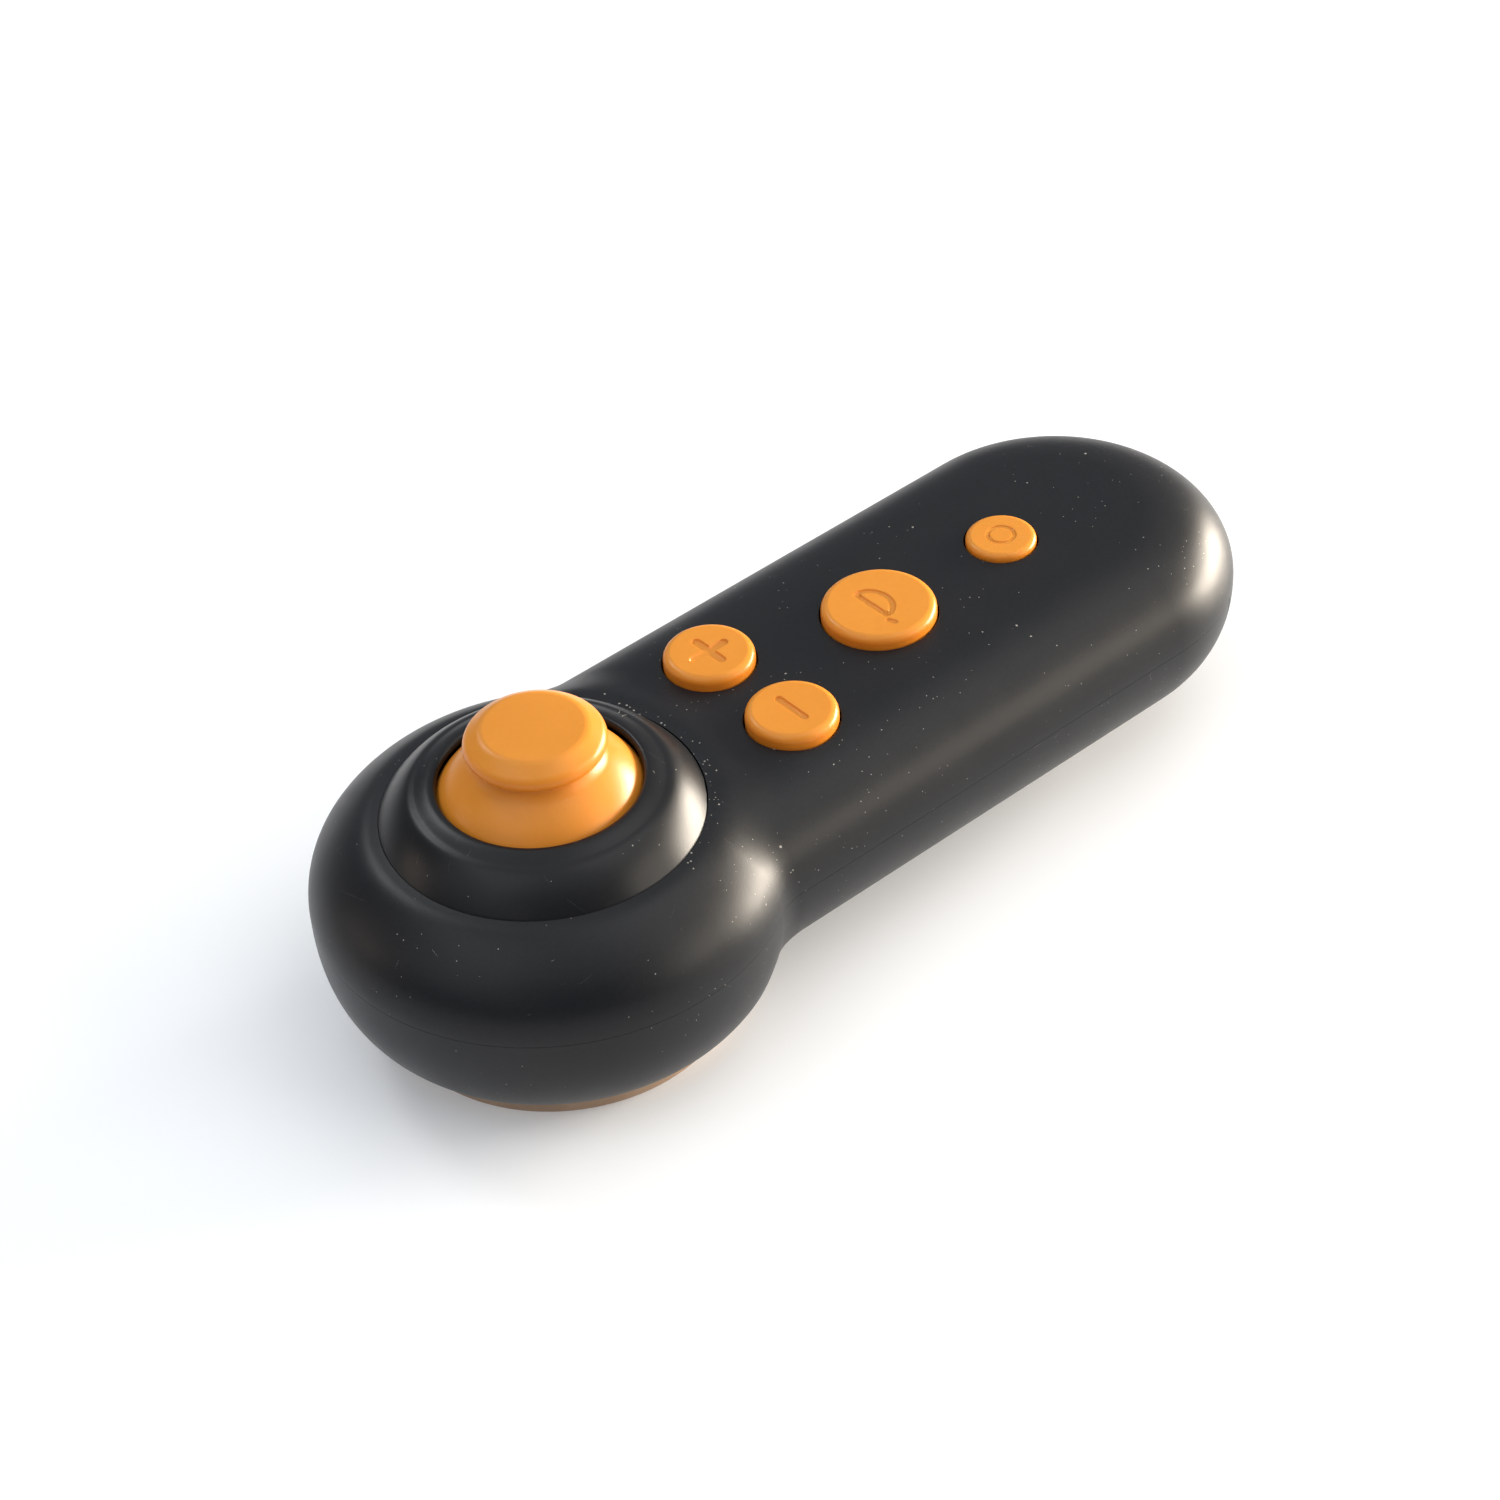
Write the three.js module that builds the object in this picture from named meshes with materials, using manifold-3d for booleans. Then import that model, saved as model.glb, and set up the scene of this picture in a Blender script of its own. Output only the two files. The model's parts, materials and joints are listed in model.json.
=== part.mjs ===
// Hand-held controller for a toy train: a round head with a thumb stick, and a rounded handle with
// four buttons on top and a sliding battery cover underneath. Millimetres, +Z up. The origin is under
// the middle of the object, on the surface that it stands on. The long axis is X, the head at -X.
import * as THREE from 'three';
import { mergeVertices } from 'three/addons/utils/BufferGeometryUtils.js';
import Module from 'manifold-3d';

const wasm = await Module();
wasm.setup();

// ---- driving dimensions -------------------------------------------------------------------------
const LENGTH = 136.5;
const HEAD_R = 29;
const HANDLE_HALF = 23.4; // half the width of the handle
const NECK_R = 7; // concave radius between head and handle, seen from above
const FOOT_H = 1.2; // how far the feet stand below the casing
const BODY_H = 27.4; // casing, from its underside to the flat of the handle
const PART_H = 17.2; // casing, from its underside to the parting line
const WALL = 2;
const GAP = 0.3; // clearance between neighbouring pieces
const FIT = 0.15; // half the gap at the parting line
const FAR = 100; // well past the object, for cutting tools

// facets round a circle, from the widest pieces to screws and pins
const FACETS = {
  pad: 40, collar: 36, stick: 30, frame: 28, cell: 24, button: 22, post: 14, pin: 12, screw: 10,
};
const ROWS = { outside: 10, inside: 5 }; // rows of the casing's surface, from its outline to its middle line

const HEAD_X = -LENGTH / 2 + HEAD_R;
const END_X = LENGTH / 2;
const END_CX = END_X - HANDLE_HALF; // centre of the round end
const Z_BASE = FOOT_H;
const Z_PART = FOOT_H + PART_H;
const Z_TOP = FOOT_H + BODY_H;
const Z_CEILING = Z_TOP - WALL; // inner face under the flat of the handle

// edge roundings of the casing: how far they reach in from the outline, and their exponent
const TOP_EDGE = { reach: 12.5, power: 2.1 };
const HEAD_EDGE = { reach: 15.5, power: 2.55 }; // underside of the head
const HANDLE_EDGE = { reach: HANDLE_HALF, power: 2.2 }; // underside of the handle
const UNDER_BLEND = { from: 10, to: 22 }; // where one underside turns into the other, from the head axis

// the collar and the low ring-shaped rise of the head around it
const COLLAR_R = 19.5;
const RISE = { height: 1.25, end: 28 };
const VALLEY = { depth: 0.3, width: 1.4 };

// thumb stick: a sphere about the pivot carries the skirt, and the gimbal turns about the same point
const PIVOT_Z = 25;
const SKIRT_R = 14.5;
const SKIRT_WALL = 1.2;
const HOLE_R = 12.3; // mouth of the collar

// buttons: place along the handle, side, radius, height above the casing, travel
const BUTTONS = [
  { name: 'plus', x: HEAD_X + 32.4, y: 7.7, r: 5.75, proud: 1.65 },
  { name: 'minus', x: HEAD_X + 32.4, y: -7.7, r: 5.75, proud: 1.65 },
  { name: 'function', x: HEAD_X + 53.7, y: 0, r: 7.3, proud: 1.65 },
  { name: 'power', x: HEAD_X + 74.8, y: 0, r: 4.55, proud: 0.85 },
];
const BUTTON_EDGE = 0.7;
const FLANGE = { wide: 1.2, z0: 24.9, z1: 25.7 };
const STEM = { r: 1.6, z: 24 };

// circuit board and what stands on it
const BOARD = { z0: 18.6, z1: 20.2, headR: 17.5, half: 14, end: 50 };
const SWITCH = { half: 3, top: 23, bore: 1.9, floor: 20.9 };
const PLUNGER = { r: 1.6, z0: 22, z1: 23.7 };

// battery cells, IEC size R03: 10.5 mm across and 44.5 mm long
const CELL = { r: 5.25, length: 44.5, z: 9.8, y: 6.3, tipR: 1.9, tip: 0.8 };
const BAY = { x0: -12, x1: 40, half: 12.6, rib: 1.2, ribZ: 6.3, top: 15.8, plate: 1.2, wall: 1.5 };

// battery cover: the underside of the handle, from the neck to the end
const COVER = { x0: -16.2, half: 19.8, gap: 0.3 };
const FOOT_PAD = { r: 21.6, edge: 0.5, top: 1 }; // round pad under the head, top above the casing's underside
const REAR_FOOT = { x: 51, y: 5.5, r: 3.4, edge: 0.4, top: 2.4, boss: 4.6, bossR: 4.9 };

// screws, in pairs: place, underside of the head, end of the thread
const screwPair = (name, x, y, z, end) => [
  { name: `${name}_left`, x, y, z, end },
  { name: `${name}_right`, x, y: -y, z, end },
];
const HEAD_SCREWS = screwPair('case_screw_head', HEAD_X + 10.4, 22.3, 7.6, 21.5);
const END_SCREWS = screwPair('case_screw_end', 56, 14.6, 14.1, 22.5);
const BOARD_SCREWS = screwPair('board_screw', 3.6, 11.5, 17.3, 23.5);
const SCREW = { headR: 2, headH: 1.3, r: 0.85, point: 0.6, boardHeadH: 1 };
const POST = { r: 2.6, boardR: 2.2, bossR: 2.9, headTop: 23.5 };

// ---- materials ----------------------------------------------------------------------------------
const FINISH = {
  casing: { color: 0x23252a, roughness: 0.5, metalness: 0 },
  collar: { color: 0x1f2023, roughness: 0.42, metalness: 0 },
  orange: { color: 0xe8902c, roughness: 0.38, metalness: 0 },
  pad: { color: 0x8a6d56, roughness: 0.7, metalness: 0 },
  rubber: { color: 0x1b1b1c, roughness: 0.9, metalness: 0 },
  nylon: { color: 0xd9d6cc, roughness: 0.5, metalness: 0 },
  frame: { color: 0x2b2d30, roughness: 0.55, metalness: 0 },
  board: { color: 0x1f6b43, roughness: 0.5, metalness: 0 },
  chip: { color: 0x17181a, roughness: 0.6, metalness: 0 },
  steel: { color: 0xb9bcc0, roughness: 0.3, metalness: 1 },
  brass: { color: 0xc9a24a, roughness: 0.35, metalness: 1 },
  cell: { color: 0x2f6f86, roughness: 0.35, metalness: 0.2 },
};

const controller = new THREE.Group();

function addPiece(name, geometry, finish) {
  const mesh = new THREE.Mesh(geometry, new THREE.MeshStandardMaterial(FINISH[finish]));
  mesh.name = name;
  controller.add(mesh);
}

// ---- solids and booleans ------------------------------------------------------------------------
function solid(geometry) {
  const bare = geometry.clone();
  bare.deleteAttribute('normal');
  bare.deleteAttribute('uv');
  const merged = mergeVertices(bare, 1e-4);
  const index = [];
  for (let i = 0; i < merged.index.count; i += 3) {
    const [a, b, c] = [0, 1, 2].map((k) => merged.index.getX(i + k));
    if (a !== b && b !== c && a !== c) {
      index.push(a, b, c);
    }
  }
  const mesh = new wasm.Mesh({
    numProp: 3,
    vertProperties: new Float32Array(merged.attributes.position.array),
    triVerts: new Uint32Array(index),
  });
  return new wasm.Manifold(mesh);
}

function geometryOf(body) {
  const mesh = body.getMesh();
  const geometry = new THREE.BufferGeometry();
  geometry.setAttribute('position', new THREE.BufferAttribute(mesh.vertProperties, 3));
  geometry.setIndex(new THREE.BufferAttribute(mesh.triVerts, 1));
  geometry.computeVertexNormals();
  return geometry;
}

const joined = (bodies) => bodies.reduce((whole, body) => whole.add(body));
const without = (whole, tools) => tools.reduce((rest, tool) => rest.subtract(tool), whole);

function box(x0, x1, y0, y1, z0, z1) {
  const geometry = new THREE.BoxGeometry(x1 - x0, y1 - y0, z1 - z0);
  return solid(geometry.translate((x0 + x1) / 2, (y0 + y1) / 2, (z0 + z1) / 2));
}

function upright(r, x, y, z0, z1, sides = FACETS.post) {
  const geometry = new THREE.CylinderGeometry(r, r, z1 - z0, sides);
  return solid(geometry.rotateX(Math.PI / 2).translate(x, y, (z0 + z1) / 2));
}

function rodX(r, x0, x1, y, z, sides = FACETS.pin) {
  const geometry = new THREE.CylinderGeometry(r, r, x1 - x0, sides);
  return solid(geometry.rotateZ(Math.PI / 2).translate((x0 + x1) / 2, y, z));
}

function rodY(r, y0, y1, x, z, sides = FACETS.pin) {
  const geometry = new THREE.CylinderGeometry(r, r, y1 - y0, sides);
  return solid(geometry.translate(x, (y0 + y1) / 2, z));
}

// A turned piece: the profile is a list of [radius, z], and starts and ends on the axis or closes.
// It may run either way round.
function turned(profile, x, y, segments) {
  const points = profile.map(([r, z]) => new THREE.Vector2(r, z));
  if (THREE.ShapeUtils.isClockWise(points)) {
    points.reverse();
  }
  const geometry = new THREE.LatheGeometry(points, segments);
  return solid(geometry.rotateX(Math.PI / 2).translate(x, y, 0));
}

// Points of an arc about (r0, z0), from one angle to another, in degrees from the +Z direction.
function arc(r0, z0, radius, from, to, steps) {
  return Array.from({ length: steps + 1 }, (_, i) => {
    const a = THREE.MathUtils.degToRad(from + ((to - from) * i) / steps);
    return [r0 + radius * Math.sin(a), z0 + radius * Math.cos(a)];
  });
}

// ---- casing -------------------------------------------------------------------------------------
const { smoothstep, lerp } = THREE.MathUtils;
const NECK_CX = HEAD_X + Math.sqrt((HEAD_R + NECK_R) ** 2 - (HANDLE_HALF + NECK_R) ** 2);
const NECK_CY = HANDLE_HALF + NECK_R;

// Distance of a point inside the outline from that outline, drawn in by an inset.
function depthInside(x, y, inset) {
  const side = Math.abs(y);
  const fromHead = x - HEAD_X;
  if ((NECK_CX - HEAD_X) * side - NECK_CY * fromHead > 0) {
    return HEAD_R - inset - Math.hypot(fromHead, side);
  }
  if (x < NECK_CX) {
    return Math.hypot(x - NECK_CX, side - NECK_CY) - NECK_R - inset;
  }
  return HANDLE_HALF - inset - Math.hypot(Math.max(0, x - END_CX), side);
}

// Rounding from 0 at the outline to 1 where the edge runs out.
function rounding(depth, { reach, power }) {
  const left = 1 - THREE.MathUtils.clamp(depth / reach, 0, 1);
  return (1 - left ** power) ** (1 / power);
}

function rise(x, y) {
  const r = Math.hypot(x - HEAD_X, y);
  const valley = VALLEY.depth * Math.exp(-(((r - COLLAR_R) / VALLEY.width) ** 2));
  return RISE.height * (1 - smoothstep(r, COLLAR_R, RISE.end)) - valley;
}

function topZ(x, y, inset) {
  const edge = { reach: TOP_EDGE.reach - inset, power: TOP_EDGE.power };
  const rounded = rounding(depthInside(x, y, inset), edge);
  return Z_PART + (Z_TOP - inset - Z_PART) * rounded + rise(x, y) * rounded;
}

function underZ(x, y, inset) {
  const t = smoothstep(x - HEAD_X, UNDER_BLEND.from, UNDER_BLEND.to);
  const edge = {
    reach: lerp(HEAD_EDGE.reach, HANDLE_EDGE.reach, t) - inset,
    power: lerp(HEAD_EDGE.power, HANDLE_EDGE.power, t),
  };
  return Z_PART - (Z_PART - Z_BASE - inset) * rounding(depthInside(x, y, inset), edge);
}

// The outline seen from above, from the back of the head to the end of the handle on the +Y side.
// Each point has the place on the middle line that its row of the surface runs to.
function halfOutline(inset) {
  const points = [];
  const tangent = Math.atan2(NECK_CY, NECK_CX - HEAD_X);
  const headSteps = 16;
  for (let i = 0; i < headSteps; i += 1) {
    const a = lerp(Math.PI, tangent, i / headSteps);
    const r = HEAD_R - inset;
    points.push({ x: HEAD_X + r * Math.cos(a), y: r * Math.sin(a), spine: HEAD_X });
  }
  const neckSteps = 3;
  for (let i = 0; i < neckSteps; i += 1) {
    const a = lerp(tangent + Math.PI, 1.5 * Math.PI, i / neckSteps);
    const r = NECK_R + inset;
    const spine = lerp(HEAD_X, NECK_CX, i / neckSteps);
    points.push({ x: NECK_CX + r * Math.cos(a), y: NECK_CY + r * Math.sin(a), spine });
  }
  const blendSteps = 2;
  const blendEnd = HEAD_X + UNDER_BLEND.to;
  for (let i = 0; i <= blendSteps; i += 1) {
    const x = lerp(NECK_CX, blendEnd, i / blendSteps);
    points.push({ x, y: HANDLE_HALF - inset, spine: x });
  }
  const endSteps = 8;
  for (let i = 0; i <= endSteps; i += 1) {
    const a = lerp(Math.PI / 2, 0, i / endSteps);
    const r = HANDLE_HALF - inset;
    points.push({ x: END_CX + r * Math.cos(a), y: r * Math.sin(a), spine: END_CX });
  }
  return points;
}

// The whole casing as one solid lump, drawn in by an inset: rows of points run from the outline to
// the middle line, over the top and over the underside.
function casingLump(inset, rows) {
  const half = halfOutline(inset);
  const mirrored = half.slice(1, -1).reverse().map((p) => ({ ...p, y: -p.y }));
  const outline = [...half, ...mirrored];
  const positions = [];
  const index = [];
  for (const height of [topZ, underZ]) {
    const first = positions.length / 3;
    for (const { x, y, spine } of outline) {
      for (let j = 0; j <= rows; j += 1) {
        const t = (j / rows) ** 2;
        const px = lerp(x, spine, t);
        const py = lerp(y, 0, t);
        positions.push(px, py, j === 0 ? Z_PART : height(px, py, inset));
      }
    }
    for (let i = 0; i < outline.length; i += 1) {
      const a = first + i * (rows + 1);
      const b = first + ((i + 1) % outline.length) * (rows + 1);
      for (let j = 0; j < rows; j += 1) {
        const quad = [a + j, b + j, b + j + 1, a + j + 1];
        const [p, q, r, s] = height === topZ ? [...quad].reverse() : quad;
        index.push(p, q, r, p, r, s);
      }
    }
  }
  const geometry = new THREE.BufferGeometry();
  geometry.setAttribute('position', new THREE.Float32BufferAttribute(positions, 3));
  geometry.setIndex(index);
  return solid(geometry);
}

const outerLump = casingLump(0, ROWS.outside);
const hollowCasing = outerLump.subtract(casingLump(WALL, ROWS.inside));

function topShell() {
  const rim = Z_PART + FIT;
  const above = box(-FAR, FAR, -FAR, FAR, rim, FAR);
  const headPosts = HEAD_SCREWS.map((s) => upright(POST.r, s.x, s.y, rim, POST.headTop));
  const endPosts = END_SCREWS.map((s) => upright(POST.r, s.x, s.y, rim, Z_CEILING));
  const boardPosts = BOARD_SCREWS.map((s) => upright(POST.boardR, s.x, s.y, BOARD.z1 + GAP, Z_TOP));
  const posts = joined([...headPosts, ...endPosts, ...boardPosts]).intersect(outerLump);
  const pilots = [...HEAD_SCREWS, ...END_SCREWS, ...BOARD_SCREWS].map((s) =>
    upright(SCREW.r + GAP, s.x, s.y, BOARD.z0 - GAP, s.end + GAP, FACETS.screw));
  const buttonHoles = BUTTONS.map((b) => upright(b.r + GAP, b.x, b.y, rim, FAR, FACETS.button));
  const collarHole = upright(COLLAR_R + FIT, HEAD_X, 0, rim, FAR, FACETS.collar);
  return without(hollowCasing.intersect(above).add(posts), [...pilots, ...buttonHoles, collarHole]);
}

// What the battery cover takes from the underside, with an optional gap all round it.
function coverSpace(gap) {
  const half = COVER.half + gap;
  return box(COVER.x0 - gap, FAR, -half, half, -FAR, Z_PART - FIT + gap);
}

// The tray over the battery cells: a plate, and a wall down to the underside at the neck end.
function batteryTray() {
  const top = BAY.top + BAY.plate;
  const back = COVER.x0 - COVER.gap;
  const tray = joined([
    box(back - BAY.wall, FAR, -FAR, FAR, BAY.top, top),
    box(back - BAY.wall, back, -FAR, FAR, Z_BASE, top),
  ]);
  const besideCover = tray.intersect(casingLump(WALL / 2, ROWS.inside)).subtract(coverSpace(COVER.gap));
  const overCover = tray.intersect(casingLump(WALL + COVER.gap, ROWS.inside));
  return besideCover.add(overCover);
}

// Low walls round the cells, hanging from the tray.
function batteryRibs() {
  const { x0, x1, half, rib, ribZ, top, plate } = BAY;
  const hang = top + plate / 2;
  return joined([
    box(x0 - rib, x0, -half, half, ribZ, hang),
    box(x1, x1 + rib, -half, half, ribZ, hang),
    box(x0, x1, -half, rib / 2 - half, ribZ, hang),
    box(x0, x1, half - rib / 2, half, ribZ, hang),
  ]);
}

function bottomShell() {
  const rim = Z_PART - FIT;
  const below = box(-FAR, FAR, -FAR, FAR, -FAR, rim);
  const walls = hollowCasing.intersect(below).subtract(coverSpace(COVER.gap));
  const bosses = joined(HEAD_SCREWS.map((s) => upright(POST.bossR, s.x, s.y, Z_BASE, rim)));
  const shell = joined([walls, batteryTray(), batteryRibs(), bosses.intersect(outerLump)]);
  const screwHoles = [...HEAD_SCREWS, ...END_SCREWS].map((s) =>
    upright(SCREW.r + GAP, s.x, s.y, 0, FAR, FACETS.screw));
  const counterbores = HEAD_SCREWS.map((s) =>
    upright(SCREW.headR + GAP, s.x, s.y, 0, s.z + SCREW.headH + GAP));
  const padSeat = upright(FOOT_PAD.r + GAP, HEAD_X, 0, 0, Z_BASE + FOOT_PAD.top + GAP, FACETS.pad);
  return without(shell, [...screwHoles, ...counterbores, padSeat]);
}

function batteryCover() {
  const below = box(-FAR, FAR, -FAR, FAR, -FAR, Z_PART - FIT - COVER.gap);
  const skin = hollowCasing.intersect(below).intersect(coverSpace(0));
  const at = [-REAR_FOOT.y, REAR_FOOT.y];
  const bosses = at.map((y) => upright(REAR_FOOT.bossR, REAR_FOOT.x, y, 0, REAR_FOOT.boss));
  const seats = at.map((y) => upright(REAR_FOOT.r + GAP, REAR_FOOT.x, y, -1, REAR_FOOT.top + GAP));
  return without(skin.add(joined(bosses).intersect(outerLump)), seats);
}

addPiece('top_shell', geometryOf(topShell()), 'casing');
addPiece('bottom_shell', geometryOf(bottomShell()), 'casing');
addPiece('battery_cover', geometryOf(batteryCover()), 'casing');

// A round foot: a disc with a small bevel round its face, which stands at z = 0.
function foot({ r, edge }, x, y, top, facets) {
  const profile = [[0, 0], [r - edge, 0], [r, edge], [r, top], [0, top]];
  return geometryOf(turned(profile, x, y, facets));
}
addPiece('foot_pad', foot(FOOT_PAD, HEAD_X, 0, Z_BASE + FOOT_PAD.top, FACETS.pad), 'pad');
for (const [side, y] of [['left', REAR_FOOT.y], ['right', -REAR_FOOT.y]]) {
  addPiece(`rear_foot_${side}`, foot(REAR_FOOT, REAR_FOOT.x, y, REAR_FOOT.top, FACETS.post), 'rubber');
}

// ---- collar round the stick ---------------------------------------------------------------------
const FLANGE_RING = { r: 21.2, z0: 24.4, z1: 25.6 }; // holds the collar under the top shell
const FLANK = { z: 29.4, innerR: 14.9, height: 4.4 }; // rounded outer side above the casing
const LIP = { z: 34, outerR: 14, crestR: 13.2, edgeR: 12.6, edge: 0.5 };
const SPHERE_CLEARANCE = 0.55; // from the skirt to the hollow that it turns in

function collar() {
  const { r, z0, z1 } = FLANGE_RING;
  const hollow = SKIRT_R + SPHERE_CLEARANCE;
  const steps = 5;
  const flank = Array.from({ length: steps + 1 }, (_, i) => {
    const a = (i / steps) * (Math.PI / 2);
    return [lerp(FLANK.innerR, COLLAR_R, Math.cos(a)), FLANK.z + FLANK.height * Math.sin(a)];
  });
  const profile = [
    [r, z0], [r, z1], [COLLAR_R, z1], ...flank,
    [LIP.outerR, LIP.z], [LIP.crestR, LIP.z], [LIP.edgeR, LIP.z - LIP.edge / 4], [HOLE_R, LIP.z - LIP.edge],
    ...arc(0, PIVOT_Z, hollow, 57, 80, 4), [hollow, z0], [r, z0],
  ];
  return turned(profile, HEAD_X, 0, FACETS.collar);
}
addPiece('stick_collar', geometryOf(collar()), 'collar');

// ---- thumb stick --------------------------------------------------------------------------------
const CAP = {
  topZ: 41.9, flatR: 6.3, edgeR: 8.1, edge: 0.5, r: 8.7, wideZ: 40.3, sideZ: 39.1, lowZ: 38.5,
  neckR: 7.4, neckZ: 37.5,
};
const SHAFT = { r: 1.8, top: 39, foot: 22.4, footR: 3.1, footH: 0.9, pinR: 1, pin: 5.4 };
const SOCKET = { r: 3.6, z: 34.4 }; // boss inside the skirt that holds the shaft
const SKIRT = { from: 35, to: 76 }; // degrees down from the top of its sphere

function stickCap() {
  const inner = SKIRT_R - SKIRT_WALL;
  const socketAngle = THREE.MathUtils.radToDeg(Math.asin(SOCKET.r / inner));
  const bore = SHAFT.r + GAP;
  const boreTop = SHAFT.top + GAP;
  const profile = [
    [0, CAP.topZ], [CAP.flatR, CAP.topZ], [CAP.edgeR, CAP.topZ - CAP.edge], [CAP.r, CAP.wideZ],
    [CAP.r, CAP.sideZ], [CAP.edgeR, CAP.lowZ], [CAP.neckR, CAP.neckZ],
    ...arc(0, PIVOT_Z, SKIRT_R, SKIRT.from, SKIRT.to, 7), ...arc(0, PIVOT_Z, inner, SKIRT.to, socketAngle, 5),
    [SOCKET.r, SOCKET.z], [bore, SOCKET.z], [bore, boreTop], [0, boreTop],
  ];
  return turned(profile, HEAD_X, 0, FACETS.stick);
}

function stickShaft() {
  const { r, top, foot: footTop, footR, footH, pinR, pin } = SHAFT;
  const bottom = footTop - footH;
  const profile = [[0, bottom], [footR, bottom], [footR, footTop], [r, footTop], [r, top], [0, top]];
  return turned(profile, HEAD_X, 0, FACETS.post).add(rodY(pinR, -pin, pin, HEAD_X, PIVOT_Z));
}

addPiece('stick_cap', geometryOf(stickCap()), 'orange');
addPiece('stick_shaft', geometryOf(stickShaft()), 'steel');

// ---- gimbal under the stick ---------------------------------------------------------------------
const PIN = { r: 1.2, short: 9.8, long: 11.6 }; // the long end of each pin turns a sensor
const ROCKER = { half: 5.8, windowX: 3.4, windowY: 4.2, z: 1.8 };
const ARCH = { inner: 7.1, outer: 8.2, half: 3.5, slotX: 2.3, slotY: 4.5, below: 1.4 };
const FRAME = { inner: 8.9, outer: 10, floor: 1, top: 27 };
const SENSOR = { inner: 10.3, outer: 11.9, half: 4, z0: 20.5, z1: 26.6 };
const SPRING_CUP = { inner: 4.5, outer: 5.5, floor: 12.2, bottom: 11.2 };
const PIN_BORES = [
  rodX(PIN.r + GAP, -FAR, FAR, 0, PIVOT_Z),
  rodY(PIN.r + GAP, -FAR, FAR, HEAD_X, PIVOT_Z),
];

// Turns about X: a block with pins on both sides, and a window in which the shaft leans along X.
function rocker() {
  const { half, z, windowX, windowY } = ROCKER;
  const block = box(HEAD_X - half, HEAD_X + half, -half, half, PIVOT_Z - z, PIVOT_Z + z);
  const window = box(HEAD_X - windowX, HEAD_X + windowX, -windowY, windowY, 0, FAR);
  const pins = rodX(PIN.r, HEAD_X - PIN.short, HEAD_X + PIN.long, 0, PIVOT_Z);
  const shaftBore = rodY(SHAFT.pinR + GAP, -FAR, FAR, HEAD_X, PIVOT_Z);
  return without(block.add(pins), [window, shaftBore]);
}

// Turns about Y: a strap over the rocker, with a slot in which the shaft leans along Y.
function archYoke() {
  const { inner, outer, half, slotX, slotY, below } = ARCH;
  const round = rodX(outer, HEAD_X - half, HEAD_X + half, 0, PIVOT_Z, FACETS.collar);
  const hollow = rodX(inner, -FAR, FAR, 0, PIVOT_Z, FACETS.collar);
  const pins = rodY(PIN.r, -PIN.short, PIN.long, HEAD_X, PIVOT_Z);
  const lowerHalf = box(-FAR, FAR, -FAR, FAR, 0, PIVOT_Z - below);
  const slot = box(HEAD_X - slotX, HEAD_X + slotX, -slotY, slotY, PIVOT_Z, FAR);
  return without(round.add(pins), [hollow, lowerHalf, slot]);
}

function gimbalFrame() {
  const wall = upright(FRAME.outer, HEAD_X, 0, BOARD.z1, FRAME.top, FACETS.frame);
  const room = upright(FRAME.inner, HEAD_X, 0, BOARD.z1 + FRAME.floor, FAR, FACETS.frame);
  const cup = upright(SPRING_CUP.outer, HEAD_X, 0, SPRING_CUP.bottom, BOARD.z1 + FRAME.floor, FACETS.button);
  const well = upright(SPRING_CUP.inner, HEAD_X, 0, SPRING_CUP.floor, FAR, FACETS.button);
  return without(wall.add(cup), [room, well, ...PIN_BORES]);
}

function sensorAlongX() {
  const { inner, outer, half, z0, z1 } = SENSOR;
  return without(box(HEAD_X + inner, HEAD_X + outer, -half, half, z0, z1), PIN_BORES);
}

function sensorAlongY() {
  const { inner, outer, half, z0, z1 } = SENSOR;
  return without(box(HEAD_X - half, HEAD_X + half, inner, outer, z0, z1), PIN_BORES);
}

// A coil spring as one swept wire: it starts at a point and runs along Z, or along X.
class Helix extends THREE.Curve {
  constructor({ r, turns }, length, alongX) {
    super();
    Object.assign(this, { r, turns, length, alongX });
  }

  getPoint(t) {
    const a = 2 * Math.PI * this.turns * t;
    const [u, v, w] = [this.r * Math.cos(a), this.r * Math.sin(a), this.length * t];
    return this.alongX ? new THREE.Vector3(w, u, v) : new THREE.Vector3(u, v, w);
  }
}

function coil(spring, start, length, alongX) {
  const { wire, turns } = spring;
  const section = new THREE.Shape();
  section.moveTo(wire, 0).lineTo(0, wire).lineTo(-wire, 0).lineTo(0, -wire);
  const extrudePath = new Helix(spring, length, alongX);
  const geometry = new THREE.ExtrudeGeometry(section, { steps: turns * 8, bevelEnabled: false, extrudePath });
  return solid(geometry.translate(...start));
}

const CENTRING = { r: 3.4, wire: 0.35, turns: 5, rest: 0.45 };
const springFloor = SPRING_CUP.floor + CENTRING.rest;
const springTop = SHAFT.foot - SHAFT.footH - CENTRING.rest;
const centringSpring = coil(CENTRING, [HEAD_X, 0, springFloor], springTop - springFloor, false);

addPiece('gimbal_rocker', geometryOf(rocker()), 'nylon');
addPiece('gimbal_arch', geometryOf(archYoke()), 'nylon');
addPiece('gimbal_frame', geometryOf(gimbalFrame()), 'frame');
addPiece('tilt_sensor_x', geometryOf(sensorAlongX()), 'board');
addPiece('tilt_sensor_y', geometryOf(sensorAlongY()), 'board');
addPiece('centring_spring', geometryOf(centringSpring), 'steel');

// ---- buttons and their switches -----------------------------------------------------------------
function button({ x, y, r, proud }) {
  const top = Z_TOP + proud;
  const flangeR = r + FLANGE.wide;
  return turned([
    [0, top], [r - BUTTON_EDGE, top], [r - BUTTON_EDGE / 4, top - BUTTON_EDGE / 4], [r, top - BUTTON_EDGE],
    [r, FLANGE.z1], [flangeR, FLANGE.z1], [flangeR, FLANGE.z0], [STEM.r, FLANGE.z0], [STEM.r, STEM.z],
    [0, STEM.z],
  ], x, y, FACETS.button);
}

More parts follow.
